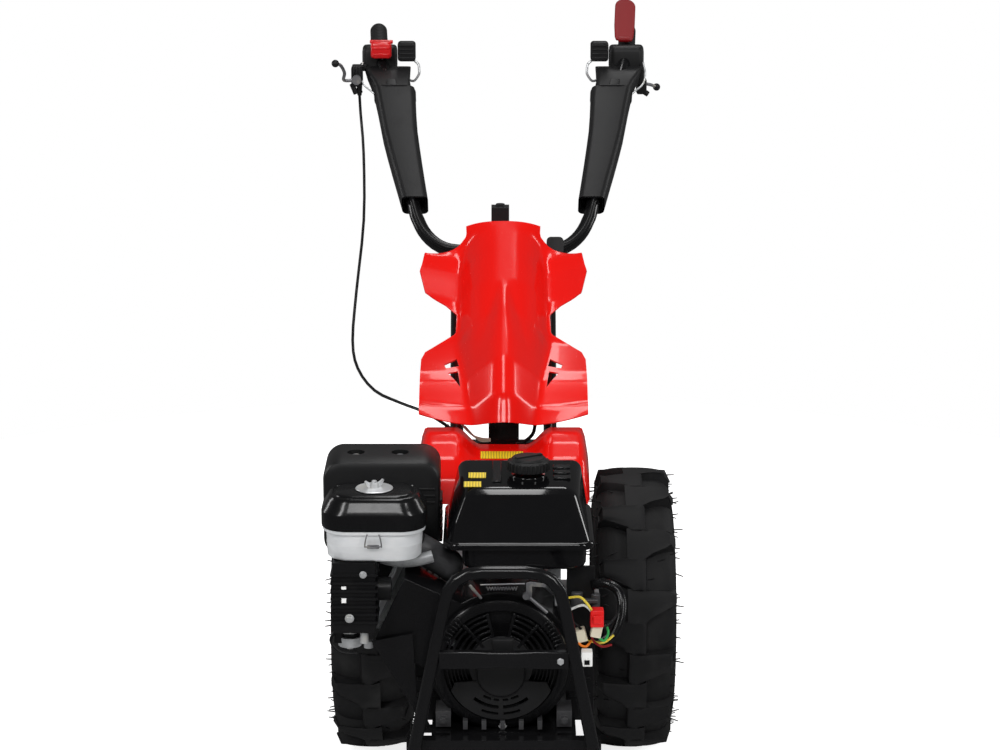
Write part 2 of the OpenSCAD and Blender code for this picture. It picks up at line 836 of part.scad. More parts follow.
module thumb_lever() {
    placed("#c4161a") {
        translate([-258.5, 973, 1173.5]) rotate([90, 0, 0]) rounded_block(44, 36, 6, 24);
        translate([-283, 972, 1189]) rotate([0, 90, 0]) cylinder(h = 49, r = 4);
    }
}

module release_lever() {
    translate([-204.5, 973, 1170.5]) rotate([90, 0, 0]) rounded_block(38, 42, 6, 24);
    translate([-226, 972, 1190]) rotate([0, 90, 0]) cylinder(h = 43, r = 4);
    pipe([[-190, 960, 1152], [-180, 954, 1144], [-179, 950, 1122], [-190, 954, 1108], [-206, 966, 1112]], 6);
}

module release_lever_left() {
    placed("#161617") release_lever();
}

module release_lever_right() {
    placed("#161617") mirror([1, 0, 0]) release_lever();
}

module throttle_lever() {
    placed("#55565a") {
        translate([-310, 934.7, 1114]) rotate([90, 0, 0]) cylinder(h = 12, r = 10);
        pipe([[-312, 928, 1114], [-336, 924, 1114], [-334, 905, 1132], [-340, 885, 1150], [-350, 872, 1157]], 7);
        translate([-351, 870, 1157]) sphere(r = 8);
    }
}

module side_lever() {
    placed("#1c1c1d") {
        translate([297, 1047, 1090]) rotate([90, 0, 0]) cylinder(h = 12.6, r = 9);
        pipe([[300, 1041, 1090], [317, 1044, 1087], [330, 1054, 1081]], 7);
        translate([332, 1056, 1080]) sphere(r = 8);
    }
}

module throttle_cable() {
    placed("#0b0b0c") swept_tube(smooth(cable_route, 6), cable_d / 2, 8, [1, 0, 0]);
}

module cables() {
    swept_tube(moved(smooth([for (i = [0:5]) bar_path[i]], 3), [-1, -18, 9]), 6, 12, [0, 1, -1]);
}

module cables_left() {
    placed("#0a0a0b") cables();
}

module cables_right() {
    placed("#0a0a0b") mirror([1, 0, 0]) cables();
}

module gear_lever() {
    placed("#131314") {
        translate([104, 548, 832]) rotate([60, 0, 0]) translate([0, 0, -14]) rounded_block(34, 36, 9, 26);
        rod([113, 520, 755], [105, 546, 824], 10);
        translate([108, 520, 750]) rotate([0, 90, 0]) cylinder(h = 10, r = 12);
    }
}

module key_box() {
    placed("#141415") {
        box([-24, 596, 872], [12, 632, 903]);
        box([-12, 602, 822], [2, 614, 874]);
        translate([-6, 614, 900]) cylinder(h = 8, r = 9);
    }
}

// ---- Rear hitch ----

module hitch() {
    placed("#1a1a1b") difference() {
        union() {
            box([-58, case_y[1], 184], [58, case_y[1] + 10, 284]);
            box([-20, case_y[1] + 8, 208], [20, 335, 252]);
            box([-32, 325, 248], [32, 395, 258]);
            box([-32, 325, 202], [32, 395, 212]);
            box([-32, 325, 202], [32, 336, 258]);
            for (x = [-44, 44], z = [200, 268])
                translate([x, case_y[1] + 9, z]) rotate([-90, 0, 0]) cylinder(h = 8, r = 9, $fn = 6);
        }
        translate([0, jaw_y, 190]) cylinder(h = 90, r = pin_r + fit);
    }
}

module hitch_pin() {
    placed("silver") {
        translate([0, jaw_y, 186]) cylinder(h = 90, r = pin_r);
        translate([0, jaw_y, 258]) cylinder(h = 6, r = 13);
        translate([0, jaw_y, 273]) rotate([90, 0, 0])
            rotate_extrude() translate([12, 0]) circle(r = 2.5, $fn = 24);
    }
}

// Folding stand under the frame, hung from two lugs; its foot is behind its pivot so it locks open
module prop_stand() {
    placed("#1c1c1d") {
        translate([-24, stand_y, stand_z]) rotate([0, 90, 0]) cylinder(h = 48, r = 10);
        translate([-38, stand_y, stand_z]) rotate([0, 90, 0]) cylinder(h = 76, r = pin_r);
        box([-9, stand_y - 6, 4], [9, stand_y + 10, stand_z - 6]);
        box([-55, stand_y + 2, 0], [55, stand_y + 34, 6]);
    }
}

tyre_left();
tyre_right();
rim_left();
rim_right();
axle_left();
axle_right();
gearbox_case();
bell_housing();
clutch_drum();
clutch_disc();
input_shaft();
drive_wheel();
crankcase();
cylinder_barrel();  // cylinder
valve_cover();
fan_shroud();
flywheel();
crankshaft();
recoil_cover();
recoil_pulley();
recoil_handle();
carburettor();
intake_elbow();
filter_cover();
filter_bowl();
filter_element();
wing_nut();
muffler();
fuel_tank();
tank_cap();
starter_motor();
wiring_box();
wiring_conduit();
base_frame();
bumper_hoop();
bumper_crossbar();
upper_hood();
lower_cover();
steering_column();
handlebar();
sleeve_left();
sleeve_right();
collar_left();
collar_right();
grip_left();
grip_right();
clutch_lever();
thumb_lever();
release_lever_left();
release_lever_right();
throttle_lever();
side_lever();
throttle_cable();
cables_left();
cables_right();
gear_lever();
key_box();
hitch();
hitch_pin();
prop_stand();
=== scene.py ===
"""Two-wheel walking tiller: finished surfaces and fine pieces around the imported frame."""
import json
import math
import random

import bmesh
import bpy
from mathutils import Matrix, Vector


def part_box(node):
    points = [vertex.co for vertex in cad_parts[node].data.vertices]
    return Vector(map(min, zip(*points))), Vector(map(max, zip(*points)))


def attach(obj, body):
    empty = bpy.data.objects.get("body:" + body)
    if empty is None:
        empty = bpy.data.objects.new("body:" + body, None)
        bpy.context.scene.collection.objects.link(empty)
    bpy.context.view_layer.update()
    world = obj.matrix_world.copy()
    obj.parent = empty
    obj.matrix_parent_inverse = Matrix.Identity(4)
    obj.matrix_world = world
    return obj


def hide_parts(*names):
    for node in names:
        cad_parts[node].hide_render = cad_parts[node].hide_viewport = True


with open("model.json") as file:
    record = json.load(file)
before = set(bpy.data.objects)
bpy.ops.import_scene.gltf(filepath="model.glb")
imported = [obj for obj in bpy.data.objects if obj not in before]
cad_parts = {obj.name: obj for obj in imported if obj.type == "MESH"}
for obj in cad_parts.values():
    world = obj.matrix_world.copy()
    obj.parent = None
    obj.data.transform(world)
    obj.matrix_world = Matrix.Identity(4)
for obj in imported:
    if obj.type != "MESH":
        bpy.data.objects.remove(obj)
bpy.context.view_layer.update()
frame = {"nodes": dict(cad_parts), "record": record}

# ---- Places taken from the frame, in millimetres from the point on the ground under the axle ----

MM = 0.001
wheel_low, wheel_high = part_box("tyre_right")
AXLE_Y = (wheel_low[1] + wheel_high[1]) / 2
AXLE_Z = (wheel_low[2] + wheel_high[2]) / 2 / MM
ORIGIN = Vector((0.0, AXLE_Y, 0.0))
TO_ROW = Matrix.Translation(ORIGIN) @ Matrix.Scale(MM, 4)


def span(node):
    """Low and high corner of a node in machine millimetres."""
    low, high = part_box(node)
    return (Vector(low) - ORIGIN) / MM, (Vector(high) - ORIGIN) / MM


def middle(node):
    low, high = span(node)
    return (low + high) / 2


def row_point(p):
    """A machine place, in millimetres, as a row place in metres."""
    return TO_ROW @ Vector(p)


# ---- Camera, floor and light ----

EYE = (-6.5, -5000.0, 1982.0)
LOOKING_DOWN = 14.31
LENS = 101.4
WHITE = (1.0, 1.0, 1.0, 1.0)


def set_stage():
    scene = bpy.context.scene
    scene.view_settings.view_transform = "Standard"
    camera_data = bpy.data.cameras.new("camera")
    camera = bpy.data.objects.new("camera", camera_data)
    scene.collection.objects.link(camera)
    camera_data.lens = LENS
    camera_data.sensor_width = 36.0
    camera_data.clip_end = 60.0
    camera.location = row_point(EYE)
    camera.rotation_euler = (math.radians(90.0 - LOOKING_DOWN), 0.0, 0.0)
    scene.camera = camera

    floor_mesh = bpy.data.meshes.new("floor")
    shape = bmesh.new()
    bmesh.ops.create_circle(shape, cap_ends=True, segments=96, radius=2.2)
    shape.to_mesh(floor_mesh)
    shape.free()
    floor = bpy.data.objects.new("floor", floor_mesh)
    scene.collection.objects.link(floor)
    floor.location.z = -0.0005
    floor.visible_glossy = False
    floor_paint = bpy.data.materials.new("floor_paint")
    floor_paint.use_nodes = True
    base = floor_paint.node_tree.nodes["Principled BSDF"]
    base.inputs["Base Color"].default_value = (0.8, 0.8, 0.8, 1.0)
    base.inputs["Roughness"].default_value = 0.9
    base.inputs["Specular IOR Level"].default_value = 0.0
    base.inputs["Emission Color"].default_value = WHITE
    base.inputs["Emission Strength"].default_value = 0.8
    floor_mesh.materials.append(floor_paint)

    world = bpy.data.worlds.new("studio")
    scene.world = world
    world.use_nodes = True
    tree = world.node_tree
    room = tree.nodes["Background"]
    room.inputs["Color"].default_value = WHITE
    room.inputs["Strength"].default_value = 0.1
    backdrop = tree.nodes.new("ShaderNodeBackground")
    backdrop.inputs["Color"].default_value = WHITE
    backdrop.inputs["Strength"].default_value = 1.0
    seen = tree.nodes.new("ShaderNodeLightPath")
    choice = tree.nodes.new("ShaderNodeMixShader")
    tree.links.new(seen.outputs["Is Camera Ray"], choice.inputs[0])
    tree.links.new(room.outputs[0], choice.inputs[1])
    tree.links.new(backdrop.outputs[0], choice.inputs[2])
    tree.links.new(choice.outputs[0], tree.nodes["World Output"].inputs["Surface"])

    softboxes = [
        ("key", (-2.4, -3.4, 3.2), 0.7, 2.2, 78.0),
        ("fill", (2.7, -3.0, 2.7), 0.6, 2.0, 58.0),
        ("front", (0.0, -4.6, 4.4), 2.4, 0.7, 80.0),
        ("overhead", (0.0, 0.3, 4.4), 0.8, 2.2, 46.0),
        ("left_rim", (-3.4, 1.2, 1.8), 0.5, 2.2, 30.0),
        ("right_rim", (3.4, 1.2, 1.8), 0.5, 2.2, 30.0),
        ("back", (0.6, 3.4, 4.8), 2.0, 1.0, 34.0),
    ]
    aim = Vector((0.0, -0.1, 0.65))
    for name, place, width, height, power in softboxes:
        data = bpy.data.lights.new(name, "AREA")
        data.shape = "RECTANGLE"
        data.size = width
        data.size_y = height
        data.energy = power
        lamp = bpy.data.objects.new(name, data)
        scene.collection.objects.link(lamp)
        lamp.location = place
        lamp.rotation_euler = (aim - Vector(place)).to_track_quat("-Z", "Y").to_euler()


set_stage()


# ---- Materials ----

class Value:
    """A node socket whose arithmetic adds Math nodes."""

    def __init__(self, paint, socket):
        self.paint = paint
        self.socket = socket

    def _math(self, operation, *values):
        return self.paint.node("ShaderNodeMath", {"operation": operation}, dict(enumerate(values)))

    def __add__(self, other):
        return self._math("ADD", self, other)

    __radd__ = __add__

    def __sub__(self, other):
        return self._math("SUBTRACT", self, other)

    def __rsub__(self, other):
        return self._math("SUBTRACT", other, self)

    def __mul__(self, other):
        return self._math("MULTIPLY", self, other)

    __rmul__ = __mul__

    def clamped(self):
        return self.paint.node("ShaderNodeClamp", {}, {0: self})


class Paint:
    """A material under construction."""

    def __init__(self, name):
        self.material = bpy.data.materials.new(name)
        self.material.use_nodes = True
        self.tree = self.material.node_tree
        self.shader = self.tree.nodes["Principled BSDF"]

    def node(self, kind, settings, sockets, output=0):
        """Adds a node: settings first, then socket values or links, and gives one output."""
        made = self.tree.nodes.new(kind)
        for key, value in settings.items():
            setattr(made, key, value)
        for key, value in sockets.items():
            if isinstance(value, Value):
                self.tree.links.new(value.socket, made.inputs[key])
            elif value is not None:
                made.inputs[key].default_value = value
        return Value(self, made.outputs[output])

    def set(self, **sockets):
        """Sets or links the main shader's sockets, spaces written as underscores."""
        for key, value in sockets.items():
            socket = self.shader.inputs[key.replace("_", " ")]
            if isinstance(value, Value):
                self.tree.links.new(value.socket, socket)
            else:
                socket.default_value = value
        return self

    def place(self, scale=(1.0, 1.0, 1.0), turn=(0.0, 0.0, 0.0)):
        """Object coordinates in metres, stretched and turned."""
        at = self.node("ShaderNodeTexCoord", {}, {}, output=3)
        return self.node("ShaderNodeMapping", {}, {0: at, 2: turn, 3: scale})

    def noise(self, scale, detail=3.0, rough=0.5, stretch=(1.0, 1.0, 1.0), turn=(0.0, 0.0, 0.0)):
        at = self.place(stretch, turn)
        return self.node(
            "ShaderNodeTexNoise", {},
            {"Vector": at, "Scale": scale, "Detail": detail, "Roughness": rough})

    def cells(self, scale):
        return self.node("ShaderNodeTexVoronoi", {"feature": "F1"}, {"Vector": self.place(), "Scale": scale})

    def step(self, value, low, high):
        return self.node(
            "ShaderNodeMapRange", {"interpolation_type": "SMOOTHSTEP"}, {0: value, 1: low, 2: high})

    def mix(self, amount, first, second):
        """Mixes two colours."""
        made = self.tree.nodes.new("ShaderNodeMix")
        made.data_type = "RGBA"
        for index, value in ((0, amount), (6, first), (7, second)):
            if isinstance(value, Value):
                self.tree.links.new(value.socket, made.inputs[index])
            elif index == 0:
                made.inputs[index].default_value = value
            else:
                made.inputs[index].default_value = (*value, 1.0)
        return Value(self, made.outputs[2])

    def bump(self, height, strength, distance, under=None):
        return self.node(
            "ShaderNodeBump", {},
            {"Strength": strength, "Distance": distance, "Height": height, "Normal": under})


def shaded(colour, factor):
    return tuple(min(1.0, c * factor) for c in colour)


FIELD_DUST = (0.06, 0.056, 0.052)


def finish_paint(name, colour, rough, grain, grain_depth, coat=0.0, dust=0.12):
    """A painted or moulded surface: cloudy tone, fine grain, dust in broad patches, rubbed spots."""
    paint = Paint(name)
    cloud = paint.noise(9.0, 4.0, 0.6)
    fine = paint.noise(grain, 2.0, 0.5)
    patches = paint.step(paint.noise(21.0, 5.0, 0.65), 0.52, 0.78)
    scuffs = paint.step(
        paint.noise(60.0, 6.0, 0.7, stretch=(1.0, 4.0, 1.0), turn=(0.3, 0.2, 0.5)), 0.66, 0.74)
    tone = paint.mix(cloud, shaded(colour, 0.88), shaded(colour, 1.12))
    dusty = paint.mix(patches * (dust * 0.5), tone, FIELD_DUST)
    paint.set(
        Base_Color=dusty,
        Roughness=(rough + patches * 0.08 + scuffs * 0.1 + (fine - 0.5) * 0.06).clamped(),
        Coat_Weight=coat,
        Coat_Roughness=0.04,
        Specular_IOR_Level=0.22,
        Normal=paint.bump(fine, 0.35, grain_depth, paint.bump(cloud, 0.1, 0.0004)),
    )
    return paint.material


def cast_metal(name, colour, rough, metal, lump=0.0004):
    """Sand-cast metal: pebbled skin, darker hollows and a thin oily film."""
    paint = Paint(name)
    pebbles = paint.cells(420.0)
    lumps = paint.noise(160.0, 5.0, 0.65)
    stain = paint.step(paint.noise(14.0, 5.0, 0.7), 0.45, 0.75)
    tone = paint.mix(lumps, shaded(colour, 0.7), shaded(colour, 1.2))
    paint.set(
        Base_Color=paint.mix(stain * 0.35, tone, (0.05, 0.045, 0.04)),
        Roughness=(rough + lumps * 0.2 - stain * 0.1).clamped(),
        Metallic=metal,
        Normal=paint.bump(lumps, 0.5, lump, paint.bump(pebbles, 0.3, lump * 0.5)),
    )
    return paint.material


def bright_metal(name, colour=(0.62, 0.63, 0.64), rough=0.28, lines=(1.0, 1.0, 30.0)):
    """Turned or drawn steel with fine lines and a faint yellow zinc haze."""
    paint = Paint(name)
    brush = paint.noise(220.0, 3.0, 0.6, stretch=lines)
    haze = paint.step(paint.noise(30.0, 4.0, 0.6), 0.5, 0.75)
    tone = paint.mix(haze * 0.5, colour, (0.62, 0.58, 0.46))
    paint.set(
        Base_Color=tone,
        Roughness=(rough + brush * 0.18 + haze * 0.08).clamped(),
        Metallic=0.65,
        Normal=paint.bump(brush, 0.25, 0.00006),
    )
    return paint.material


def red_shell(name):
    """Deep gloss red moulding with a faint orange peel and hairline wiping marks."""
    paint = Paint(name)
    cloud = paint.noise(5.0, 3.0, 0.5)
    peel = paint.noise(260.0, 2.0, 0.4)
    hair = paint.step(
        paint.noise(500.0, 3.0, 0.6, stretch=(1.0, 0.05, 0.3), turn=(0.4, 0.1, 0.7)), 0.62, 0.72)
    dust = paint.step(paint.noise(34.0, 6.0, 0.7), 0.6, 0.85)
    colour = paint.mix(cloud, (0.74, 0.0045, 0.0025), (0.82, 0.008, 0.0045))
    paint.set(
        Base_Color=paint.mix(dust * 0.04, colour, (0.9, 0.5, 0.45)),
        Roughness=(0.2 + hair * 0.08 + dust * 0.06).clamped(),
        Coat_Weight=0.3,
        Coat_Roughness=0.03,
        Specular_IOR_Level=0.2,
        Normal=paint.bump(peel, 0.12, 0.00005),
    )
    return paint.material


def tyre_rubber(name):
    """Moulded farm tyre rubber: near black, with a fine mould texture and grey bloom."""
    paint = Paint(name)
    fine = paint.noise(700.0, 3.0, 0.6)
    mould = paint.noise(90.0, 5.0, 0.65)
    bloom = paint.step(paint.noise(16.0, 5.0, 0.65), 0.45, 0.8)
    colour = paint.mix(bloom * 0.45, (0.008, 0.008, 0.0085), (0.024, 0.0235, 0.023))
    paint.set(
        Base_Color=colour,
        Roughness=(0.56 + bloom * 0.16 + fine * 0.1).clamped(),
        Specular_IOR_Level=0.18,
        Normal=paint.bump(fine, 0.35, 0.00012, paint.bump(mould, 0.35, 0.0006)),
    )
    return paint.material


def milky_plastic(name):
    """Natural polypropylene bowl, slightly see-through, with flow marks."""
    paint = Paint(name)
    flow = paint.noise(26.0, 4.0, 0.6, stretch=(1.0, 1.0, 3.0))
    paint.set(
        Base_Color=paint.mix(flow, (0.62, 0.64, 0.66), (0.82, 0.83, 0.84)),
        Roughness=(0.28 + flow * 0.14).clamped(),
        Transmission_Weight=0.25,
        Subsurface_Weight=0.15,
        Subsurface_Radius=(0.01, 0.01, 0.01),
        Normal=paint.bump(flow, 0.15, 0.0004),
    )
    return paint.material


def pleated_paper(name):
    """Filter paper with upright pleats and a loose fibre."""
    paint = Paint(name)
    fibre = paint.noise(600.0, 4.0, 0.7)
    paint.set(
        Base_Color=paint.mix(fibre, (0.5, 0.34, 0.12), (0.66, 0.5, 0.24)),
        Roughness=0.9,
        Normal=paint.bump(fibre, 0.5, 0.0003),
    )
    return paint.material


def label_paint(name, colour, stripe):
    """Printed label with darker generic bars, no lettering."""
    paint = Paint(name)
    wave = paint.node(
        "ShaderNodeTexWave", {"bands_direction": "X"},
        {"Vector": paint.place(), "Scale": 62.0, "Distortion": 1.5})
    bars = paint.step(wave, 0.62, 0.7)
    paint.set(
        Base_Color=paint.mix(bars * 0.5, colour, stripe),
        Roughness=0.35,
        Normal=paint.bump(paint.noise(300.0), 0.1, 0.0001),
    )
    return paint.material


RED = red_shell("gloss_red_shell")
TYRE = tyre_rubber("farm_tyre_rubber")
TANK_BLACK = finish_paint(
    "tank_gloss_black", (0.004, 0.004, 0.0045), 0.08, 500.0, 0.000004, coat=0.25, dust=0.02)
FRAME_BLACK = finish_paint(
    "powder_coat_black", (0.006, 0.006, 0.0065), 0.2, 700.0, 0.00001, coat=0.15, dust=0.04)
SHEET_BLACK = finish_paint("sheet_black", (0.006, 0.006, 0.0065), 0.34, 500.0, 0.00004, dust=0.14)
PLASTIC_BLACK = finish_paint("grained_black_plastic", (0.01, 0.01, 0.0105), 0.46, 1100.0, 0.0001, dust=0.12)
COVER_BLACK = finish_paint(
    "smooth_black_plastic", (0.005, 0.005, 0.0055), 0.2, 900.0, 0.00001, coat=0.12, dust=0.04)
GRIP_BLACK = finish_paint("grip_rubber", (0.008, 0.008, 0.0085), 0.62, 800.0, 0.0002, dust=0.2)
SHEATH_BLACK = finish_paint("cable_sheath", (0.005, 0.005, 0.0055), 0.36, 300.0, 0.000004, dust=0.02)
HEAT_BLACK = finish_paint("heat_proof_black", (0.01, 0.01, 0.0105), 0.4, 1300.0, 0.0001, dust=0.18)
LEVER_RED = finish_paint("lever_dark_red", (0.2, 0.005, 0.007), 0.4, 700.0, 0.00005, dust=0.05)
BUTTON_RED = finish_paint(
    "lever_bright_red", (0.62, 0.012, 0.014), 0.22, 700.0, 0.00003, coat=0.4, dust=0.05)
CONNECTOR_RED = finish_paint("connector_red", (0.75, 0.012, 0.012), 0.35, 700.0, 0.00003, dust=0.05)
CONNECTOR_IVORY = finish_paint("connector_ivory", (0.62, 0.57, 0.44), 0.42, 700.0, 0.00004, dust=0.1)
CONNECTOR_WHITE = finish_paint("connector_white", (0.78, 0.78, 0.76), 0.4, 700.0, 0.00004, dust=0.08)
WIRE_YELLOW = finish_paint("wire_yellow", (0.72, 0.55, 0.06), 0.35, 700.0, 0.00002, dust=0.1)
WIRE_GREEN = finish_paint("wire_green", (0.03, 0.35, 0.08), 0.35, 700.0, 0.00002, dust=0.1)
WIRE_ORANGE = finish_paint("wire_orange", (0.8, 0.2, 0.02), 0.35, 700.0, 0.00002, dust=0.1)
ALUMINIUM = cast_metal("cast_aluminium", (0.42, 0.43, 0.44), 0.34, metal=0.4)
GEARBOX_IRON = cast_metal("painted_cast_iron", (0.05, 0.05, 0.053), 0.42, metal=0.2, lump=0.0008)
STEEL = bright_metal("zinc_plated_steel")
TURNED = bright_metal("turned_steel", rough=0.2, lines=(40.0, 1.0, 1.0))
LEVER_GREY = bright_metal("lever_grey_steel", (0.2, 0.2, 0.21), 0.35)
MILKY = milky_plastic("milky_bowl_plastic")
PAPER = pleated_paper("pleated_filter_paper")
LABEL_YELLOW = label_paint("yellow_label", (0.85, 0.62, 0.02), (0.05, 0.04, 0.03))
PALE_MARK = finish_paint("pale_mark", (0.75, 0.75, 0.74), 0.4, 700.0, 0.00002, dust=0.05)


# ---- Shape helpers: everything is built in machine millimetres and placed once ----

WASHER = 1.4
NEW_PIECE_CREASE = 40.0
CAD_PIECE_CREASE = 35.0
SHARP_FROM = 32.0


def turned(degrees, axis, size=4):
    """A turn about an axis through the origin."""
    return Matrix.Rotation(math.radians(degrees), size, axis)


def new_piece(name, shape, material=None):
    """An object made from a bmesh that is already in its place."""
    mesh = bpy.data.meshes.new(name)
    shape.to_mesh(mesh)
    shape.free()
    if material:
        mesh.materials.append(material)
    piece = bpy.data.objects.new(name, mesh)
    bpy.context.scene.collection.objects.link(piece)
    return piece


def shade(piece, bevel, segments, crease, smooth):
    """Eases edges sharper than the crease angle, and shades smooth below the smooth angle, in degrees."""
    if bevel:
        edge = piece.modifiers.new("edge", "BEVEL")
        edge.width = bevel * MM
        edge.segments = segments
        edge.limit_method = "ANGLE"
        edge.angle_limit = math.radians(crease)
    piece.data.shade_smooth()
    if smooth < 180.0:
        piece.data.set_sharp_from_angle(angle=math.radians(smooth))


def keep(shape, name, material, body, smooth=SHARP_FROM, bevel=0.0, segments=2, replaces=""):
    """Turns a bmesh in machine millimetres into a finished piece that rides on a body."""
    bmesh.ops.remove_doubles(shape, verts=shape.verts, dist=0.001)
    bmesh.ops.recalc_face_normals(shape, faces=shape.faces)
    bmesh.ops.transform(shape, matrix=TO_ROW, verts=shape.verts)
    piece = new_piece(name, shape, material)
    shade(piece, bevel, segments, NEW_PIECE_CREASE, smooth)
    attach(piece, body)
    if replaces:
        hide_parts(replaces)
    return piece


def add_block(shape, low, high, turn=None):
    """A box between two corners, turned about its centre if asked. Gives its vertices."""
    low, high = Vector(low), Vector(high)
    centre = (low + high) / 2
    stretch = Matrix.Diagonal((*(high - low), 1.0))
    made = bmesh.ops.create_cube(shape, size=1.0, matrix=Matrix.Translation(centre) @ stretch)
    if turn is not None:
        bmesh.ops.rotate(shape, verts=made["verts"], cent=centre, matrix=turn)
    return made["verts"]


def along(start, end):
    """Matrix that takes the Z axis to run from start, towards end."""
    direction = Vector(end) - Vector(start)
    return Matrix.Translation(Vector(start)) @ direction.to_track_quat("Z", "Y").to_matrix().to_4x4()


def add_rod(shape, start, end, r, sides=32, r_end=None):
    """A round or polygonal bar between two points."""
    length = (Vector(end) - Vector(start)).length
    bmesh.ops.create_cone(
        shape, cap_ends=True, cap_tris=False, segments=sides,
        radius1=r, radius2=r if r_end is None else r_end, depth=length,
        matrix=along(start, end) @ Matrix.Translation((0.0, 0.0, length / 2)))


def add_ball(shape, centre, r):
    bmesh.ops.create_uvsphere(
        shape, u_segments=24, v_segments=16, radius=r, matrix=Matrix.Translation(centre))


def add_bolt(shape, at, direction, across, high):
    """Hexagon head with a washer, standing on a surface."""
    at, direction = Vector(at), Vector(direction)
    base = at + direction * WASHER
    top = base + direction * high
    add_rod(shape, at, base, across * 0.78, 24)
    add_rod(shape, base, top, across / math.sqrt(3.0), 6)
    add_rod(shape, top, top + direction * 0.6, across * 0.42, 16)


def joined_to(verts):
    """Every vertex that edges join to these."""
    found = set(verts)
    front = list(verts)
    while front:
        for edge in front.pop().link_edges:
            fresh = [vert for vert in edge.verts if vert not in found]
            found.update(fresh)
            front.extend(fresh)
    return list(found)


def add_lathe(shape, profile, matrix, steps=96):
    """Spins a closed or open (radius, height) profile about the matrix's Z axis."""
    verts = [shape.verts.new((r, 0.0, h)) for r, h in profile]
    edges = [shape.edges.new((a, b)) for a, b in zip(verts, verts[1:])]
    bmesh.ops.spin(
        shape, geom=verts + edges, cent=(0, 0, 0), axis=(0, 0, 1), dvec=(0, 0, 0), angle=math.tau,
        steps=steps, use_merge=True, use_duplicate=False)
    bmesh.ops.transform(shape, matrix=matrix, verts=joined_to(verts))


def add_prism(shape, outline, matrix, depth):
    """Extrudes a flat outline along the matrix's Z axis."""
    verts = [shape.verts.new((x, y, 0.0)) for x, y in outline]
    face = shape.faces.new(verts)
    made = bmesh.ops.extrude_face_region(shape, geom=[face])
    top = [item for item in made["geom"] if isinstance(item, bmesh.types.BMVert)]
    bmesh.ops.translate(shape, verts=top, vec=(0.0, 0.0, depth))
    bmesh.ops.transform(shape, matrix=matrix, verts=verts + top)


def round_outline(width, height, r, steps=8):
    """Rounded rectangle about its centre, anticlockwise."""
    corners = [(1, 1, 0), (-1, 1, 90), (-1, -1, 180), (1, -1, 270)]
    points = []
    for sx, sy, start in corners:
        for k in range(steps + 1):
            a = math.radians(start + 90.0 * k / steps)
            points.append((sx * (width / 2 - r) + r * math.cos(a), sy * (height / 2 - r) + r * math.sin(a)))
    return points


def add_loft(shape, rings, close_ends=True):
    """Skins a stack of rings of points. Gives the vertices."""
    loops = []
    for ring in rings:
        verts = [shape.verts.new(p) for p in ring]
        edges = [shape.edges.new((a, b)) for a, b in zip(verts, verts[1:] + verts[:1])]
        loops.append((verts, edges))
    for (_, first), (_, second) in zip(loops, loops[1:]):
        bmesh.ops.bridge_loops(shape, edges=first + second)
    if close_ends:
        shape.faces.new(loops[0][0])
        shape.faces.new(loops[-1][0])
    return [vert for verts, _ in loops for vert in verts]


def add_layers(shape, layers, matrix):
    """Skins a stack of rounded rectangles: (height, width, depth, corner), closed at both ends."""
    rings = []
    for height, width, depth, corner in layers:
        rings.append([(x, y, height) for x, y in round_outline(width, depth, corner)])
    bmesh.ops.transform(shape, matrix=matrix, verts=add_loft(shape, rings))


def curve_points(path, steps=6):
    """Smooth points through given places."""
    path = [Vector(p) for p in path]
    points = []
    for i in range(len(path) - 1):
        a, b = path[max(i - 1, 0)], path[i]
        c, d = path[i + 1], path[min(i + 2, len(path) - 1)]
        for k in range(steps):
            t = k / steps
            bend = 2 * a - 5 * b + 4 * c - d
            twist = 3 * b - a - 3 * c + d
            points.append(0.5 * (2 * b + (c - a) * t + bend * t * t + twist * t ** 3))
    points.append(path[-1])
    return points


def add_hose(shape, points, r, sides=16, ribs=None):
    """A round hose through points; ribs gives the radius at each point."""
    points = [Vector(p) for p in points]
    loops = []
    normal = None
    for i, point in enumerate(points):
        ahead = points[min(i + 1, len(points) - 1)] - points[max(i - 1, 0)]
        ahead.normalize()
        if normal is None:
            normal = ahead.orthogonal().normalized()
        normal = (normal - ahead * normal.dot(ahead)).normalized()
        across = ahead.cross(normal)
        radius = ribs[i] if ribs else r
        made = bmesh.ops.create_circle(
            shape, cap_ends=False, segments=sides, radius=radius,
            matrix=Matrix.Translation(point) @ Matrix((normal, across, ahead)).transposed().to_4x4())
        loops.append(made["verts"])
    for first, second in zip(loops, loops[1:]):
        for k in range(sides):
            shape.faces.new((first[k], first[(k + 1) % sides], second[(k + 1) % sides], second[k]))
    for end in (loops[0], loops[-1]):
        shape.faces.new(end)


def cut(piece, cutter_shape):
    """Cuts a piece with a bmesh in machine millimetres, and applies the cut."""
    bmesh.ops.recalc_face_normals(cutter_shape, faces=cutter_shape.faces)
    bmesh.ops.transform(cutter_shape, matrix=TO_ROW, verts=cutter_shape.verts)
    cutter = new_piece("cutter", cutter_shape)
    step = piece.modifiers.new("cut", "BOOLEAN")
    step.operation = "DIFFERENCE"
    step.solver = "EXACT"
    step.object = cutter
    while piece.modifiers[0] != step:
        bpy.context.view_layer.objects.active = piece
        piece.modifiers.move(len(piece.modifiers) - 1, 0)
    with bpy.context.temp_override(object=piece, active_object=piece, selected_objects=[piece]):
        bpy.ops.object.modifier_apply(modifier="cut")
    bpy.data.objects.remove(cutter)
    piece.data.set_sharp_from_angle(angle=math.radians(SHARP_FROM))


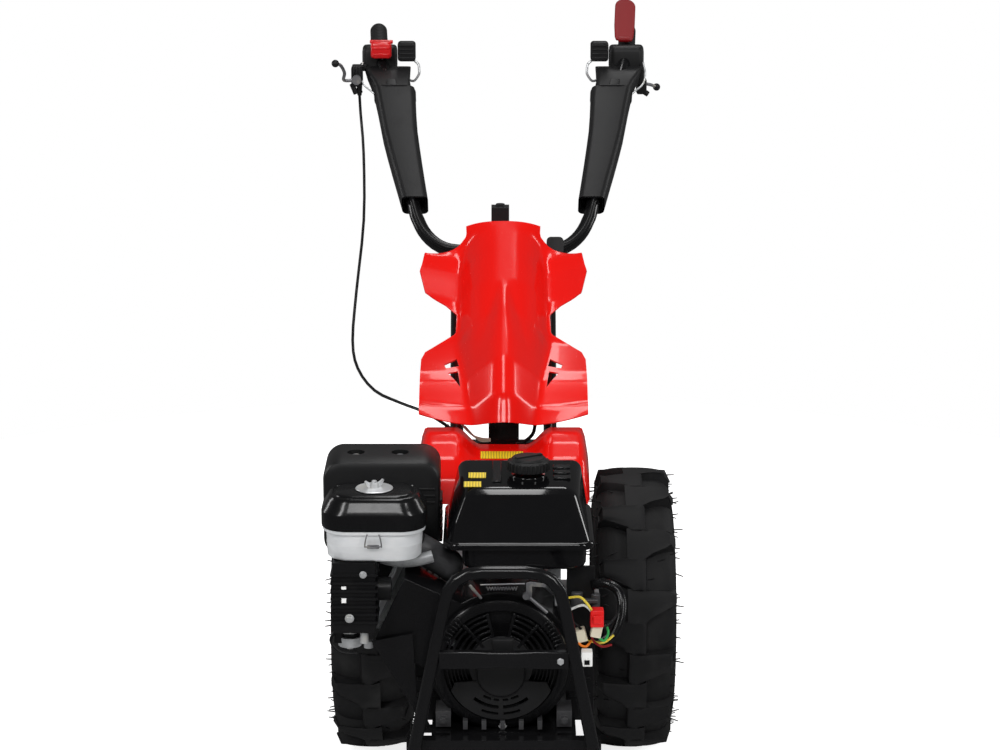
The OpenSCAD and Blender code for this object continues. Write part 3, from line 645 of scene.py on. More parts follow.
def dressed(node, material, bevel=0.8, segments=2, smooth=SHARP_FROM):
    """A CAD node's own shape with merged faces and eased edges, in a better material."""
    shape = bmesh.new()
    shape.from_mesh(frame["nodes"][node].data)
    bmesh.ops.remove_doubles(shape, verts=shape.verts, dist=0.000002)
    bmesh.ops.dissolve_limit(
        shape, angle_limit=math.radians(0.6), verts=shape.verts, edges=shape.edges,
        use_dissolve_boundaries=False)
    piece = new_piece(node + "_finish", shape, material)
    shade(piece, bevel, segments, CAD_PIECE_CREASE, smooth)
    bodies = frame["record"]["behaviour"]["bodies"]
    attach(piece, next(body for body, nodes in bodies.items() if node in nodes))
    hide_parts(node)
    return piece


def crank_matrix(y):
    """Z runs forward along the crankshaft line from a lengthwise place."""
    centre = middle("recoil_pulley")
    return Matrix.Translation((centre.x, y, centre.z)) @ turned(90.0, "X")


def lookup(pairs, s):
    """Straight-line interpolation in a short list of (place, value)."""
    if s <= pairs[0][0]:
        return pairs[0][1]
    for (a, va), (b, vb) in zip(pairs, pairs[1:]):
        if s <= b:
            return va + (vb - va) * (s - a) / (b - a)
    return pairs[-1][1]


def ease(t):
    t = max(0.0, min(1.0, t))
    return t * t * (3.0 - 2.0 * t)


# ---- Throttle cable: leaves its block on the left handle and ends in a clip on the left stem ----

def make_throttle_cable():
    """The route repeats the machine's own cable path, in metres in the row frame."""
    route = [
        (-0.305, 0.635, 1.078), (-0.303, 0.631, 1.040), (-0.296, 0.597, 0.960), (-0.294, 0.527, 0.829),
        (-0.306, 0.427, 0.700),
        (-0.309, 0.307, 0.622), (-0.294, 0.207, 0.588), (-0.255, 0.087, 0.573), (-0.201, -0.033, 0.580),
        (-0.150, -0.123, 0.585), (-0.108, -0.171, 0.572),
    ]
    points = curve_points(route, steps=3)
    curve = bpy.data.curves.new("throttle_cable_outer", "CURVE")
    curve.dimensions = "3D"
    curve.bevel_depth = 0.003
    curve.bevel_resolution = 4
    curve.use_fill_caps = True
    spline = curve.splines.new("POLY")
    spline.points.add(len(points) - 1)
    for control, point in zip(spline.points, points):
        control.co = (*point, 1.0)
    spline.use_smooth = True
    curve.materials.append(SHEATH_BLACK)
    cable = bpy.data.objects.new("throttle_cable_outer", curve)
    bpy.context.scene.collection.objects.link(cable)
    length = sum((b - a).length for a, b in zip(points, points[1:]))
    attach(cable, "column")
    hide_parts("throttle_cable")


make_throttle_cable()


# ---- Wheels ----

LUG_COUNT = 14
LUG_R = 250.0
HAIR_COUNT = 112
HAIR_R = 1.5
CARCASS = [(0, 246), (20, 245), (36, 243), (48, 240), (58, 234), (66, 225), (71, 208), (72, 193)]


def carcass_r(u):
    return lookup(CARCASS, abs(u))


def tread_r(u):
    return AXLE_Z - 0.3 - 9.0 * (abs(u) / 68.0) ** 2.6


def add_lug(shape, turn, side):
    """One tread lug: straight trailing edge, slanted leading edge, a square nose across the middle."""
    made = bmesh.ops.create_grid(shape, x_segments=10, y_segments=6, size=0.5)
    faces = list({face for vert in made["verts"] for face in vert.link_faces})
    raised = bmesh.ops.extrude_face_region(shape, geom=faces)
    tops = [item for item in raised["geom"] if isinstance(item, bmesh.types.BMVert)]
    for verts, top in ((made["verts"], False), (tops, True)):
        for vert in verts:
            s, t = vert.co.x + 0.5, vert.co.y + 0.5
            spread = 0.0 if top else 3.0
            u = -15.0 - spread + s * (81.0 + (2.0 if top else 0.0) + 2.0 * spread)
            near = 2.0 - spread
            far = lookup([(-20, 60), (10, 58), (17, 52), (66, 27), (74, 25)], u) + spread
            v = near + (far - near) * t
            u = min(u, 71.0)
            r = tread_r(min(u, 68.0)) if top else carcass_r(u) - 4.0
            if top and u > 62.0:
                r -= (u - 62.0) * 2.4
            angle = turn - v / LUG_R
            vert.co = Vector((side * u, -r * math.cos(angle), r * math.sin(angle) + AXLE_Z))
    crown = set(tops)
    rim = []
    for edge in {edge for vert in tops for edge in vert.link_edges}:
        if len(edge.link_faces) == 2 and crown.issuperset(edge.verts) and edge.calc_face_angle(0.0) > 0.7:
            rim.append(edge)
    bmesh.ops.bevel(
        shape, geom=rim, offset=3.0, segments=2, profile=0.5, affect="EDGES", material=-1,
        offset_type="OFFSET")


def make_tyre(node, body, seed):
    centre = middle(node)
    shape = bmesh.new()
    profile = [
        (127, 50), (129, 55), (133, 57), (140, 58), (150, 64), (165, 70), (180, 72), (193, 72),
        (208, 71), (225, 66), (234, 58), (240, 48), (243, 36), (245, 20), (246, 0)]
    closed = profile + [(r, -h) for r, h in reversed(profile[:-1])]
    inner = [
        (131, -40), (160, -58), (200, -60), (228, -46), (236, 0), (228, 46), (200, 60), (160, 58),
        (131, 40)]
    ring = closed + inner + [closed[0]]
    axle = Matrix.Translation((0, 0, AXLE_Z))
    add_lathe(shape, ring, axle @ turned(90.0, "Y"), steps=144)
    for r, h in ((136.5, 58), (171, 71.2), (198, 71.6)):
        for side in (1, -1):
            bead = [(r - 1.6, h - 1.5), (r - 1.2, h + 0.9), (r + 1.2, h + 0.9), (r + 1.6, h - 1.5)]
            add_lathe(shape, bead, axle @ turned(90.0 * side, "Y"), steps=144)
    for k in range(LUG_COUNT):
        add_lug(shape, math.tau * k / LUG_COUNT, 1)
        add_lug(shape, math.tau * (k + 0.5) / LUG_COUNT, -1)
    bmesh.ops.translate(shape, verts=shape.verts, vec=(centre.x, 0, 0))
    keep(shape, node + "_moulding", TYRE, body, smooth=38.0, replaces=node)

    draw = random.Random(seed)
    hairs = bmesh.new()
    for side in (1, -1):
        for k in range(HAIR_COUNT):
            angle = math.tau * (k + draw.uniform(-0.35, 0.35)) / HAIR_COUNT
            r = draw.choice((244, 236, 228, 218, 206)) + draw.uniform(-3, 3)
            u = next((h for h, radius in reversed(CARCASS) if radius >= r), 66)
            start = Vector((side * (min(u, 70) - 2), -r * math.cos(angle), r * math.sin(angle) + AXLE_Z))
            length = draw.uniform(9, 17)
            lean = Vector((side, draw.uniform(-0.35, 0.35), draw.uniform(-0.35, 0.35))).normalized()
            add_rod(hairs, start, start + lean * (length + 3), HAIR_R, 5, HAIR_R * 0.6)
    bmesh.ops.translate(hairs, verts=hairs.verts, vec=(centre.x, 0, 0))
    keep(hairs, node + "_hairs", TYRE, body)


def make_rims():
    for node, body, side in (("rim_left", "left_wheel", -1), ("rim_right", "right_wheel", 1)):
        dressed(node, FRAME_BLACK, bevel=1.2)
        centre = middle(node)
        shape = bmesh.new()
        root = Vector((centre.x + side * 30, 0.0, AXLE_Z + 112))
        cap = root + Vector((side * 30, 0, -8))
        add_rod(shape, root, cap, 3.6, 20)
        add_rod(shape, cap, cap + Vector((side * 10, 0, -2.6)), 4.4, 20)
        keep(shape, node + "_valve", GRIP_BLACK, body, bevel=0.5)


make_tyre("tyre_left", "left_wheel", 11)
make_tyre("tyre_right", "right_wheel", 7)
make_rims()


# ---- Recoil starter ----

def add_arc_bar(shape, r, width, low, high, start, end, matrix):
    """A curved bar: radius of its middle, width, heights along the axis, angles in degrees."""
    inside, outside = r - width / 2, r + width / 2
    corners = ((inside, low), (outside, low), (outside, high), (inside, high))
    verts = [shape.verts.new((x, 0, z)) for x, z in corners]
    face = shape.faces.new(verts)
    bmesh.ops.rotate(shape, verts=verts, cent=(0, 0, 0), matrix=turned(start, "Z", 3))
    bmesh.ops.spin(
        shape, geom=verts + list(face.edges) + [face], cent=(0, 0, 0), axis=(0, 0, 1), dvec=(0, 0, 0),
        angle=math.radians(end - start), steps=max(4, int((end - start) / 5)), use_duplicate=False)
    bmesh.ops.transform(shape, matrix=matrix, verts=joined_to(verts))


def make_recoil():
    low, high = span("recoil_cover")
    place = crank_matrix(high.y)
    outer = (high.x - low.x) / 2
    dish = bmesh.new()
    add_lathe(dish, [
        (outer - 3.4, 0), (outer, 0), (outer, 13), (outer - 1.5, 16), (outer - 4, 17.5), (103, 21.5),
        (99.5, 22), (98, 20.5), (98, 12), (46, 12), (45, 13), (45, 24), (0.01, 24)], place, steps=128)
    add_lathe(dish, [(outer - 3.4, 0), (outer - 3.4, 10), (0.01, 10)], place, steps=64)
    keep(dish, "recoil_dish", COVER_BLACK, "chassis", replaces="recoil_cover", smooth=30.0)

    ribs = bmesh.new()
    for r, top in ((56, 27), (66, 27.5), (76, 28), (86, 27), (94, 25)):
        for start, end in ((17, 47), (52, 74), (106, 128), (133, 163)):
            add_arc_bar(ribs, r, 4.2, 11.5, top, start, end, place)
    for a in (15, 49.5, 76, 104, 130.5, 165):
        verts = add_block(ribs, (45, -2.6, 11.5), (98, 2.6, 27.5))
        bmesh.ops.transform(ribs, matrix=place @ turned(a, "Z"), verts=verts)
    for start, end in ((172, 206), (334, 368)):
        for r in (62, 68, 74, 80, 86, 92):
            add_arc_bar(ribs, r, 2.4, 11.5, 24.5, start, end, place)
    keep(ribs, "recoil_ribs", COVER_BLACK, "chassis", bevel=0.7)

    plate = bmesh.new()
    outline = []
    for k in range(33):
        a = math.radians(207 + 126 * k / 32)
        outline.append((95.5 * math.cos(a), 95.5 * math.sin(a)))
    outline += [(78, -28), (48, -26), (-48, -26), (-78, -28)]
    add_prism(plate, outline, place @ Matrix.Translation((0, 0, 24)), 5.0)
    face = keep(plate, "recoil_face_plate", PLASTIC_BLACK, "chassis", bevel=1.6, segments=3)
    hole = bmesh.new()
    air_slots = [
        (73, 6.5, 231, 267), (73, 6.5, 273, 309), (85, 5.0, 247, 267), (85, 5.0, 273, 293),
        (60, 4.5, 240, 254), (60, 4.5, 258, 267), (60, 4.5, 273, 282), (60, 4.5, 286, 300)]
    for r, width, start, end in air_slots:
        add_arc_bar(hole, r, width, 20, 33, start, end, place)
    cut(face, hole)

    shield = bmesh.new()
    add_rod(shield, place @ Vector((0, -12, 24)), place @ Vector((0, -12, 32)), 40, 96)
    keep(shield, "recoil_shield", PLASTIC_BLACK, "chassis", bevel=1.5, segments=3)
    edge = bmesh.new()
    add_lathe(
        edge, [(40.5, 27), (40.5, 31), (42.5, 31), (42.5, 27), (40.5, 27)],
        place @ Matrix.Translation((0, -12, 0)), steps=96)
    keep(edge, "recoil_shield_edge", COVER_BLACK, "chassis", smooth=40.0)

    bolts = bmesh.new()
    for x, z in ((-85, 40), (96, 40), (3, -109)):
        add_bolt(bolts, place @ Vector((x, z, 17 if z < 0 else 12)), (0, -1, 0), 10, 5)
    keep(bolts, "recoil_bolts", STEEL, "chassis", bevel=0.5)

    louvres = bmesh.new()
    for a in (145, 35):
        for k in range(7):
            turn = turned(a + (k - 3.5) * 4.0, "Z")
            verts = add_block(louvres, (97, -1.4, 8), (114, 1.4, 24))
            bmesh.ops.transform(louvres, matrix=place @ turn, verts=verts)
    keep(louvres, "recoil_edge_louvres", COVER_BLACK, "chassis", bevel=0.6)

    low, high = span("recoil_handle")
    centre = (low + high) / 2
    grip = bmesh.new()
    add_layers(grip, [
        (336, 24, 11, 4), (343, 30, 13, 5), (356, 36, 15, 6), (366, 39.5, 16.5, 6.5), (371, 38, 15, 6),
        (372, 34, 11, 5)], Matrix.Translation((centre.x, centre.y + 1.0, 0)))
    keep(
        grip, "recoil_pull_grip", GRIP_BLACK, "starter_grip", smooth=40.0,
        replaces="recoil_handle", bevel=0.6)


make_recoil()


# ---- Engine, air filter, exhaust ----

PLEATS = 60


def make_filter():
    low, high = span("filter_cover")
    x, y = (low.x + high.x) / 2, (low.y + high.y) / 2
    width, depth = high.x - low.x, high.y - low.y
    place = Matrix.Translation((x, y, 0))
    lid = bmesh.new()
    add_layers(lid, [
        (552, width - 4, depth - 4, 43), (553.5, width - 1, depth - 1, 44), (556, width, depth, 45),
        (579, width, depth, 45), (581.5, width - 1.5, depth - 1.5, 45), (588, width - 9, depth - 9, 44),
        (599, width - 22, depth - 22, 40),
        (603.5, width - 27, depth - 27, 38), (605.5, width - 33, depth - 33, 36),
        (605.8, width - 38, depth - 38, 34), (604.6, width - 40, depth - 40, 33),
        (604.6, width - 46, depth - 46, 31), (606.8, width - 49, depth - 49, 30),
        (608.2, width - 58, depth - 58, 26), (608.8, width - 84, depth - 84, 18)], place)
    keep(lid, "filter_lid", COVER_BLACK, "chassis", smooth=50.0, replaces="filter_cover")

    low, high = span("filter_bowl")
    width, depth = high.x - low.x, high.y - low.y
    bowl = bmesh.new()
    add_layers(bowl, [
        (497, width - 30, depth - 24, 36), (498.5, width - 22, depth - 16, 38),
        (502, width - 15, depth - 11, 40), (522, width - 13, depth - 9.5, 41),
        (523.5, width - 12, depth - 8.5, 41), (525, width - 12, depth - 8.5, 41),
        (526.5, width - 13, depth - 9.5, 41), (545, width - 12, depth - 9, 42),
        (546.5, width - 1, depth - 1, 44), (551.8, width, depth, 44)], place)
    keep(
        bowl, "filter_bowl_moulding", MILKY, "chassis", smooth=50.0,
        replaces="filter_bowl")

    paper = bmesh.new()
    centre = middle("filter_element")
    outline = []
    for k in range(PLEATS * 2):
        r = 44 if k % 2 else 38
        a = math.tau * k / (PLEATS * 2)
        outline.append((r * math.cos(a), r * math.sin(a)))
    add_prism(paper, outline, Matrix.Translation((centre.x, centre.y, 506)), 62)
    add_rod(paper, (centre.x, centre.y, 502), (centre.x, centre.y, 507), 44, 48)
    add_rod(paper, (centre.x, centre.y, 567), (centre.x, centre.y, 573), 44, 48)
    keep(paper, "filter_pleats", PAPER, "chassis", smooth=20.0, replaces="filter_element")

    clip = bmesh.new()
    front = y - depth / 2
    for sx in (-14, 14):
        leg = [
            (x + sx, front - 1, 526), (x + sx, front - 3, 530), (x + sx * 0.9, front - 3, 540),
            (x + sx * 0.7, front, 548)]
        add_hose(clip, curve_points(leg, 5), 1.2, 8)
    bow = [(x - 14, front - 3, 528), (x, front - 3.5, 526), (x + 14, front - 3, 528)]
    add_hose(clip, curve_points(bow, 5), 1.4, 8)
    add_block(clip, (x - 10, front - 3.0, 524), (x + 10, front - 0.5, 530))
    keep(clip, "filter_clip", LEVER_GREY, "chassis", smooth=50.0)

    nut = bmesh.new()
    centre = middle("wing_nut")
    add_lathe(nut, [
        (5, 609.4), (31, 609.4), (32, 610.2), (32, 611.2), (30.5, 612), (24, 611.4), (12, 612.4),
        (5, 612.4)], Matrix.Translation((centre.x, centre.y, 0)), 64)
    add_rod(nut, (centre.x, centre.y, 531), (centre.x, centre.y, 624), 4.2, 24)
    add_rod(nut, (centre.x, centre.y, 612), (centre.x, centre.y, 620), 9.5, 24, 7.5)
    for side in (-1, 1):
        wing = [(4, 0), (9, -1), (15, 5), (18, 11.5), (15, 13.5), (10, 10), (5, 7.5)]
        foot = Matrix.Translation((centre.x, centre.y, 612))
        turn = turned(24 if side > 0 else 204, "Z") @ turned(90, "X")
        add_prism(nut, wing, foot @ turn @ Matrix.Translation((0, 0, -1.6)), 3.2)
    keep(nut, "filter_wing_nut", STEEL, "filter_nut", bevel=0.6, replaces="wing_nut")


def make_carburettor():
    dressed("carburettor", SHEET_BLACK, bevel=2.4, segments=3)
    front = span("carburettor")[0].y
    extra = bmesh.new()
    add_bolt(extra, (-262, front, 400), (0, -1, 0), 10, 4)
    add_bolt(extra, (-238, front, 478), (0, -1, 0), 8, 3)
    add_rod(extra, (-264, -424, 338), (-264, -424, 330), 6, 6)
    add_rod(extra, (-264, -424, 362), (-264, -424, 366), 19, 40)
    add_rod(extra, (-238, -452, 350), (-238, -452, 372), 7, 24)
    keep(extra, "carburettor_fittings", STEEL, "chassis", bevel=0.4)
    pipe = bmesh.new()
    drain = [(-282, -440, 376), (-296, -444, 352), (-280, -448, 332), (-252, -440, 326)]
    add_hose(pipe, curve_points(drain, 6), 2.6, 10)
    keep(pipe, "carburettor_drain_pipe", SHEATH_BLACK, "chassis", smooth=60.0)
    cast = bmesh.new()
    add_rod(cast, (-264, -424, 337), (-264, -424, 354), 20, 48, 21.5)
    add_rod(cast, (-232, -430, 334), (-232, -430, 346), 8, 24)
    neck = [(-210, -400, 486), (-184, -403, 481), (-154, -400, 480), (-122, -396, 487)]
    add_hose(cast, curve_points(neck, 6), 10.5, 20)
    keep(cast, "carburettor_castings", ALUMINIUM, "chassis", bevel=0.8, smooth=45.0)
    marks = bmesh.new()
    add_block(marks, (-275, front - 1.0, 428), (-267, front + 1.0, 436))
    add_block(marks, (-275, front - 1.0, 452), (-267, front + 1.0, 457))
    keep(marks, "carburettor_marks", PALE_MARK, "chassis")


def make_muffler():
    low, high = span("muffler")
    x0, x1, y0, z0, z1 = low.x, -111.0, low.y, low.z, high.z
    shape = bmesh.new()
    place = Matrix.Translation(((x0 + x1) / 2, 0, (z0 + z1) / 2)) @ turned(90, "X")
    w, h = x1 - x0, z1 - z0
    add_layers(shape, [
        (200, w - 24, h - 24, 24), (204, w - 6, h - 6, 30), (210, w, h, 32), (262, w, h, 32),
        (264, w, h, 32), (266, w, h, 32), (318, w, h, 32), (325, w - 6, h - 6, 30),
        (329, w - 22, h - 22, 24)], place)
    body = keep(
        shape, "muffler_shell", HEAT_BLACK, "chassis", smooth=50.0, replaces="muffler")
    holes = bmesh.new()
    for x in (-258, -181):
        add_rod(holes, (x, -264, z1 - 11), (x, -264, z1 + 4), 15.5, 40)
    cut(body, holes)
    bolts = bmesh.new()
    for x in (-258, -181):
        add_bolt(bolts, (x, -264, z1 - 11), (0, 0, 1), 12, 5)
    keep(bolts, "muffler_bolts", LEVER_GREY, "chassis", bevel=0.5)
    seam = bmesh.new()
    for z in (486, 498, 510, 522, 534, 546, 558):
        add_block(seam, (x1 - 1, y0 + 18, z), (x1 + 4, y0 + 76, z + 5))
    for z in (560, 572, 584):
        add_block(seam, (x1 - 52, y0 - 0.5, z), (x1 - 8, y0 + 3, z + 5))
    add_rod(seam, (-212, -205, 460), (-212, -180, 460), 17, 40)
    keep(seam, "muffler_fins", HEAT_BLACK, "chassis", bevel=1.2)


def make_engine():
    for node, paint, bevel in (
        ("crankcase", ALUMINIUM, 2.0), ("cylinder", ALUMINIUM, 0.6), ("valve_cover", SHEET_BLACK, 2.0),
        ("fan_shroud", COVER_BLACK, 3.0), ("flywheel", LEVER_GREY, 0.6), ("crankshaft", TURNED, 0.6),
        ("recoil_pulley", PLASTIC_BLACK, 0.8), ("intake_elbow", GEARBOX_IRON, 0.0),
        ("starter_motor", SHEET_BLACK, 2.0), ("bell_housing", ALUMINIUM, 2.0),
        ("clutch_drum", STEEL, 1.0), ("clutch_disc", PLASTIC_BLACK, 0.8),
        ("input_shaft", TURNED, 0.8), ("drive_wheel", TURNED, 0.8), ("gearbox_case", GEARBOX_IRON, 3.0),
        ("axle_left", TURNED, 0.8), ("axle_right", TURNED, 0.8),
    ):
        dressed(node, paint, bevel)
    fins = bmesh.new()
    for k in range(5):
        add_block(fins, (-70 + k * 32, -470, 199), (-62 + k * 32, -333, 214))
    for side in (-1, 1):
        add_block(fins, (side * 104 - 13, -452, 197), (side * 104 + 13, -330, 226))
        add_bolt(fins, (side * 104, -452, 210), (0, -1, 0), 12, 6)
    keep(fins, "engine_feet", GEARBOX_IRON, "chassis", bevel=2.0)
    # Painted shade: dark slatted panels put in the gaps between the frame and the tyres beside the engine,
    # where there is only shade.
    shade_panels = bmesh.new()
    add_block(shade_panels, (-154, -398, 188), (-110, -393, 352))
    add_block(shade_panels, (108, -398, 188), (156, -393, 470))
    for z in (232, 262, 292, 322):
        add_block(shade_panels, (-150, -401, z), (-114, -397, z + 7))
        add_block(shade_panels, (112, -401, z), (150, -397, z + 7))
    keep(shade_panels, "engine_gap_shade_panels", SHEET_BLACK, "chassis", bevel=1.2)


def make_linkage():
    """Governor arm, springs and brackets seen above the fan housing."""
    shape = bmesh.new()
    arm = [(0, 0), (10, 0), (10, 24), (34, 22), (34, 28), (8, 32), (0, 30)]
    add_prism(shape, arm, Matrix.Translation((38, -446, 426)) @ turned(90, "X"), 2.5)
    add_rod(shape, (38, -450, 432), (38, -440, 432), 6, 24)
    add_rod(shape, (44, -450, 430), (74, -452, 404), 3, 12)
    add_rod(shape, (-40, -446, 452), (36, -446, 454), 1.4, 10)
    spring = [
        (-30 + k * 0.9, -448 + 3.2 * math.cos(k * 1.2), 446 + 3.2 * math.sin(k * 1.2)) for k in range(60)]
    add_hose(shape, spring, 0.8, 6)
    add_rod(shape, (-58, -448, 452), (-38, -448, 428), 2.6, 12)
    keep(shape, "governor_linkage", LEVER_GREY, "chassis", bevel=0.4)

    bracket = bmesh.new()
    add_layers(bracket, [(0, 46, 30, 8), (8, 46, 30, 8)], Matrix.Translation((142, -392, 404)))
    add_rod(bracket, (126, -398, 396), (126, -398, 424), 10, 24)
    add_rod(bracket, (158, -396, 396), (158, -396, 420), 8, 24)
    keep(bracket, "starter_bracket", GEARBOX_IRON, "chassis", bevel=2.0)


make_filter()
make_carburettor()
make_muffler()
make_engine()
make_linkage()


# ---- Fuel tank ----

TANK_SEAM_Z = 519
TANK_FRONT_Y, TANK_FRONT_Z = -361, 595
TANK_BACK_Y, TANK_BACK_Z = -220, 613.5
TANK_SLOPE = 7.5
CAP_RIBS = 28


def tank_top(y):
    """Height of the sloping tank top."""
    return TANK_FRONT_Z + (TANK_BACK_Z - TANK_FRONT_Z) * (y - TANK_FRONT_Y) / (TANK_BACK_Y - TANK_FRONT_Y)


def make_tank():
    body = bmesh.new()
    made = bmesh.ops.create_cube(body, size=1.0)
    corners = {
        (-1, -1, -1): (-97, -430, TANK_SEAM_Z), (1, -1, -1): (148, -430, TANK_SEAM_Z),
        (-1, 1, -1): (-97, -188, TANK_SEAM_Z), (1, 1, -1): (148, -188, TANK_SEAM_Z),
        (-1, -1, 1): (-62, TANK_FRONT_Y, TANK_FRONT_Z), (1, -1, 1): (119, TANK_FRONT_Y, TANK_FRONT_Z),
        (-1, 1, 1): (-80, TANK_BACK_Y, TANK_BACK_Z), (1, 1, 1): (137, TANK_BACK_Y, TANK_BACK_Z),
    }
    for vert in made["verts"]:
        vert.co = Vector(corners[tuple(1 if c > 0 else -1 for c in vert.co)])
    soft = [edge for edge in body.edges if max(vert.co.z for vert in edge.verts) > TANK_SEAM_Z + 1]
    bmesh.ops.bevel(
        body, geom=soft, offset=17.0, segments=7, profile=0.5, affect="EDGES", material=-1,
        clamp_overlap=True)
    keep(body, "tank_body", TANK_BLACK, "chassis", smooth=50.0, replaces="fuel_tank")

    lower = bmesh.new()
    add_layers(
        lower, [(470, 196, 212, 20), (473, 206, 222, 24), (479, 212, 228, 26), (512, 214, 230, 26)],
        Matrix.Translation((35, -310, 0)))
    add_layers(lower, [
        (508, 250, 240, 24), (509, 257, 248, 27), (512, 259, 250, 28), (517, 259, 250, 28),
        (520, 256, 247, 27), (521, 248, 239, 24)], Matrix.Translation((25.5, -310, 0)))
    keep(lower, "tank_lower", TANK_BLACK, "chassis", smooth=50.0)

    trim = bmesh.new()
    for k in range(3):
        y = -318 + k * 22
        add_block(trim, (86, y, tank_top(y) - 1), (116, y + 15, tank_top(y) + 4.0), turned(8, "X", 3))
    slope = turned(TANK_SLOPE, "X", 3)
    add_block(trim, (-20, -330, tank_top(-330) - 1), (-4, -240, tank_top(-285) + 2.5), slope)
    keep(trim, "tank_ribs", COVER_BLACK, "chassis", bevel=1.2)

    cap = bmesh.new()
    centre = middle("tank_cap")
    base = span("tank_cap")[0].z
    place = Matrix.Translation((centre.x, centre.y, base))
    add_lathe(cap, [
        (0.01, 0), (34, 0), (35.5, 1.5), (35.5, 14), (33.5, 17.5), (30, 19), (29.5, 21.5), (27, 23.5),
        (12, 24), (0.01, 24)], place, 96)
    for k in range(CAP_RIBS):
        a = math.tau * k / CAP_RIBS
        foot = place @ Vector((35.8 * math.cos(a), 35.8 * math.sin(a), 1.5))
        head = place @ Vector((35.0 * math.cos(a), 35.0 * math.sin(a), 16.5))
        add_rod(cap, foot, head, 2.4, 10)
    verts = add_block(cap, (-26, -4.5, 21), (26, 4.5, 26.5))
    bmesh.ops.transform(cap, matrix=place @ turned(30, "Z"), verts=verts)
    keep(
        cap, "tank_filler_cap", PLASTIC_BLACK, "cap", smooth=35.0, replaces="tank_cap",
        bevel=0.5)
    collar = bmesh.new()
    add_rod(collar, (centre.x, centre.y, 590), (centre.x, centre.y, 606), 30, 64)
    keep(collar, "tank_neck", TANK_BLACK, "chassis", bevel=1.5)

    sticker = bmesh.new()
    for x, y in ((-46, -300), (-54, -338)):
        verts = add_block(sticker, (-15, -11, -0.3), (15, 11, 0.5))
        place = Matrix.Translation((x, y, tank_top(y) + 0.3)) @ turned(TANK_SLOPE, "X")
        bmesh.ops.transform(sticker, matrix=place, verts=verts)
    keep(sticker, "tank_stickers", LABEL_YELLOW, "chassis")


make_tank()


# ---- Frame ----

def make_frame():
    for node in ("base_frame", "bumper_crossbar"):
        dressed(node, FRAME_BLACK, bevel=2.0, segments=3)
    dressed("bumper_hoop", FRAME_BLACK, bevel=0.0, smooth=50.0)
    bolts = bmesh.new()
    low, high = span("bumper_crossbar")
    add_bolt(bolts, (high.x - 14, low.y + 3.2, 342), (0, -1, 0), 11, 4)
    for side in (-1, 1):
        add_bolt(bolts, (side * 150, -506, 186), (0, -1, 0), 11, 4)
    keep(bolts, "bumper_bolts", STEEL, "chassis", bevel=0.4)


make_frame()


# ---- Wiring at the starter side ----

def make_wiring():
    conduit = bmesh.new()
    path = [
        (150, -402, 436), (172, -396, 438), (194, -388, 424), (203, -382, 398), (200, -376, 362),
        (186, -370, 332), (164, -366, 314)]
    points = curve_points(path, 16)
    add_hose(conduit, points, 9, 18, [9.0 if i % 2 else 7.4 for i in range(len(points))])
    keep(
        conduit, "starter_conduit", COVER_BLACK, "chassis", smooth=60.0,
        replaces="wiring_conduit")

    block = bmesh.new()
    add_block(block, (148, -438, 372), (171, -414, 402))
    add_block(block, (152, -442, 380), (167, -410, 394))
    keep(
        block, "wiring_red_plug", CONNECTOR_RED, "chassis", bevel=2.2, segments=3,
        replaces="wiring_box")
    block = bmesh.new()
    add_block(block, (150, -434, 352), (168, -414, 374), Matrix.Rotation(0.2, 3, "Y"))
    add_block(block, (124, -424, 340), (142, -402, 362), Matrix.Rotation(-0.3, 3, "Y"))
    keep(block, "wiring_ivory_plugs", CONNECTOR_IVORY, "chassis", bevel=1.4)
    block = bmesh.new()
    add_block(block, (133, -446, 304), (152, -424, 330))
    add_rod(block, (142, -447, 318), (142, -440, 318), 3, 16)
    keep(block, "wiring_white_block", CONNECTOR_WHITE, "chassis", bevel=1.6)
    # Painted shade: a flat dark patch on the white block's face stands for the shade inside its socket
    # opening.
    holes = bmesh.new()
    add_block(holes, (138, -447.5, 308), (147, -445, 316))
    keep(holes, "wiring_block_slot_shade", SHEET_BLACK, "chassis", bevel=0.5)
    strands = [
        (WIRE_YELLOW, "yellow", [(112, -420, 420), (130, -428, 424), (142, -432, 414), (150, -432, 402)]),
        (WIRE_YELLOW, "yellow_low", [(128, -410, 350), (150, -404, 336), (172, -396, 330), (190, -386, 340)]),
        (WIRE_GREEN, "green", [(160, -420, 352), (172, -414, 340), (180, -408, 352), (176, -404, 366)]),
        (WIRE_ORANGE, "orange", [(124, -418, 346), (132, -424, 336), (142, -420, 332), (150, -410, 338)]),
        (CONNECTOR_WHITE, "white", [(116, -410, 396), (136, -424, 408), (150, -428, 398), (158, -424, 380)]),
        (LEVER_RED, "red", [(150, -414, 352), (156, -408, 336), (170, -404, 326), (186, -390, 324)]),
        (SHEATH_BLACK, "black", [(166, -424, 366), (182, -416, 372), (196, -400, 384), (200, -388, 396)]),
        (SHEATH_BLACK, "black_low", [(110, -410, 380), (126, -420, 370), (140, -412, 352), (152, -400, 330)]),
    ]
    for paint, colour, path in strands:
        strand = bmesh.new()
        add_hose(strand, curve_points(path, 8), 2.2, 10)
        keep(strand, "wire_" + colour, paint, "chassis", smooth=60.0)


make_wiring()


# ---- Covers ----

SHELL_WALL = 3.0
HOOD_OUTLINE = [
    (0, 157), (0.1, 158), (0.4, 157), (0.455, 150), (0.5, 126), (0.54, 92), (0.63, 90), (0.665, 112),
    (0.685, 134), (0.71, 152), (0.82, 164), (0.9, 155), (0.955, 90), (0.975, 73), (1, 74),
]
HOOD_CREST_PLACE = [(0, -3), (0.08, 20), (0.22, 90), (0.45, 205), (0.7, 335), (1, 500)]
HOOD_CREST_HEIGHT = [(0, 617), (0.08, 662), (0.22, 716), (0.45, 764), (0.7, 820), (1, 895)]


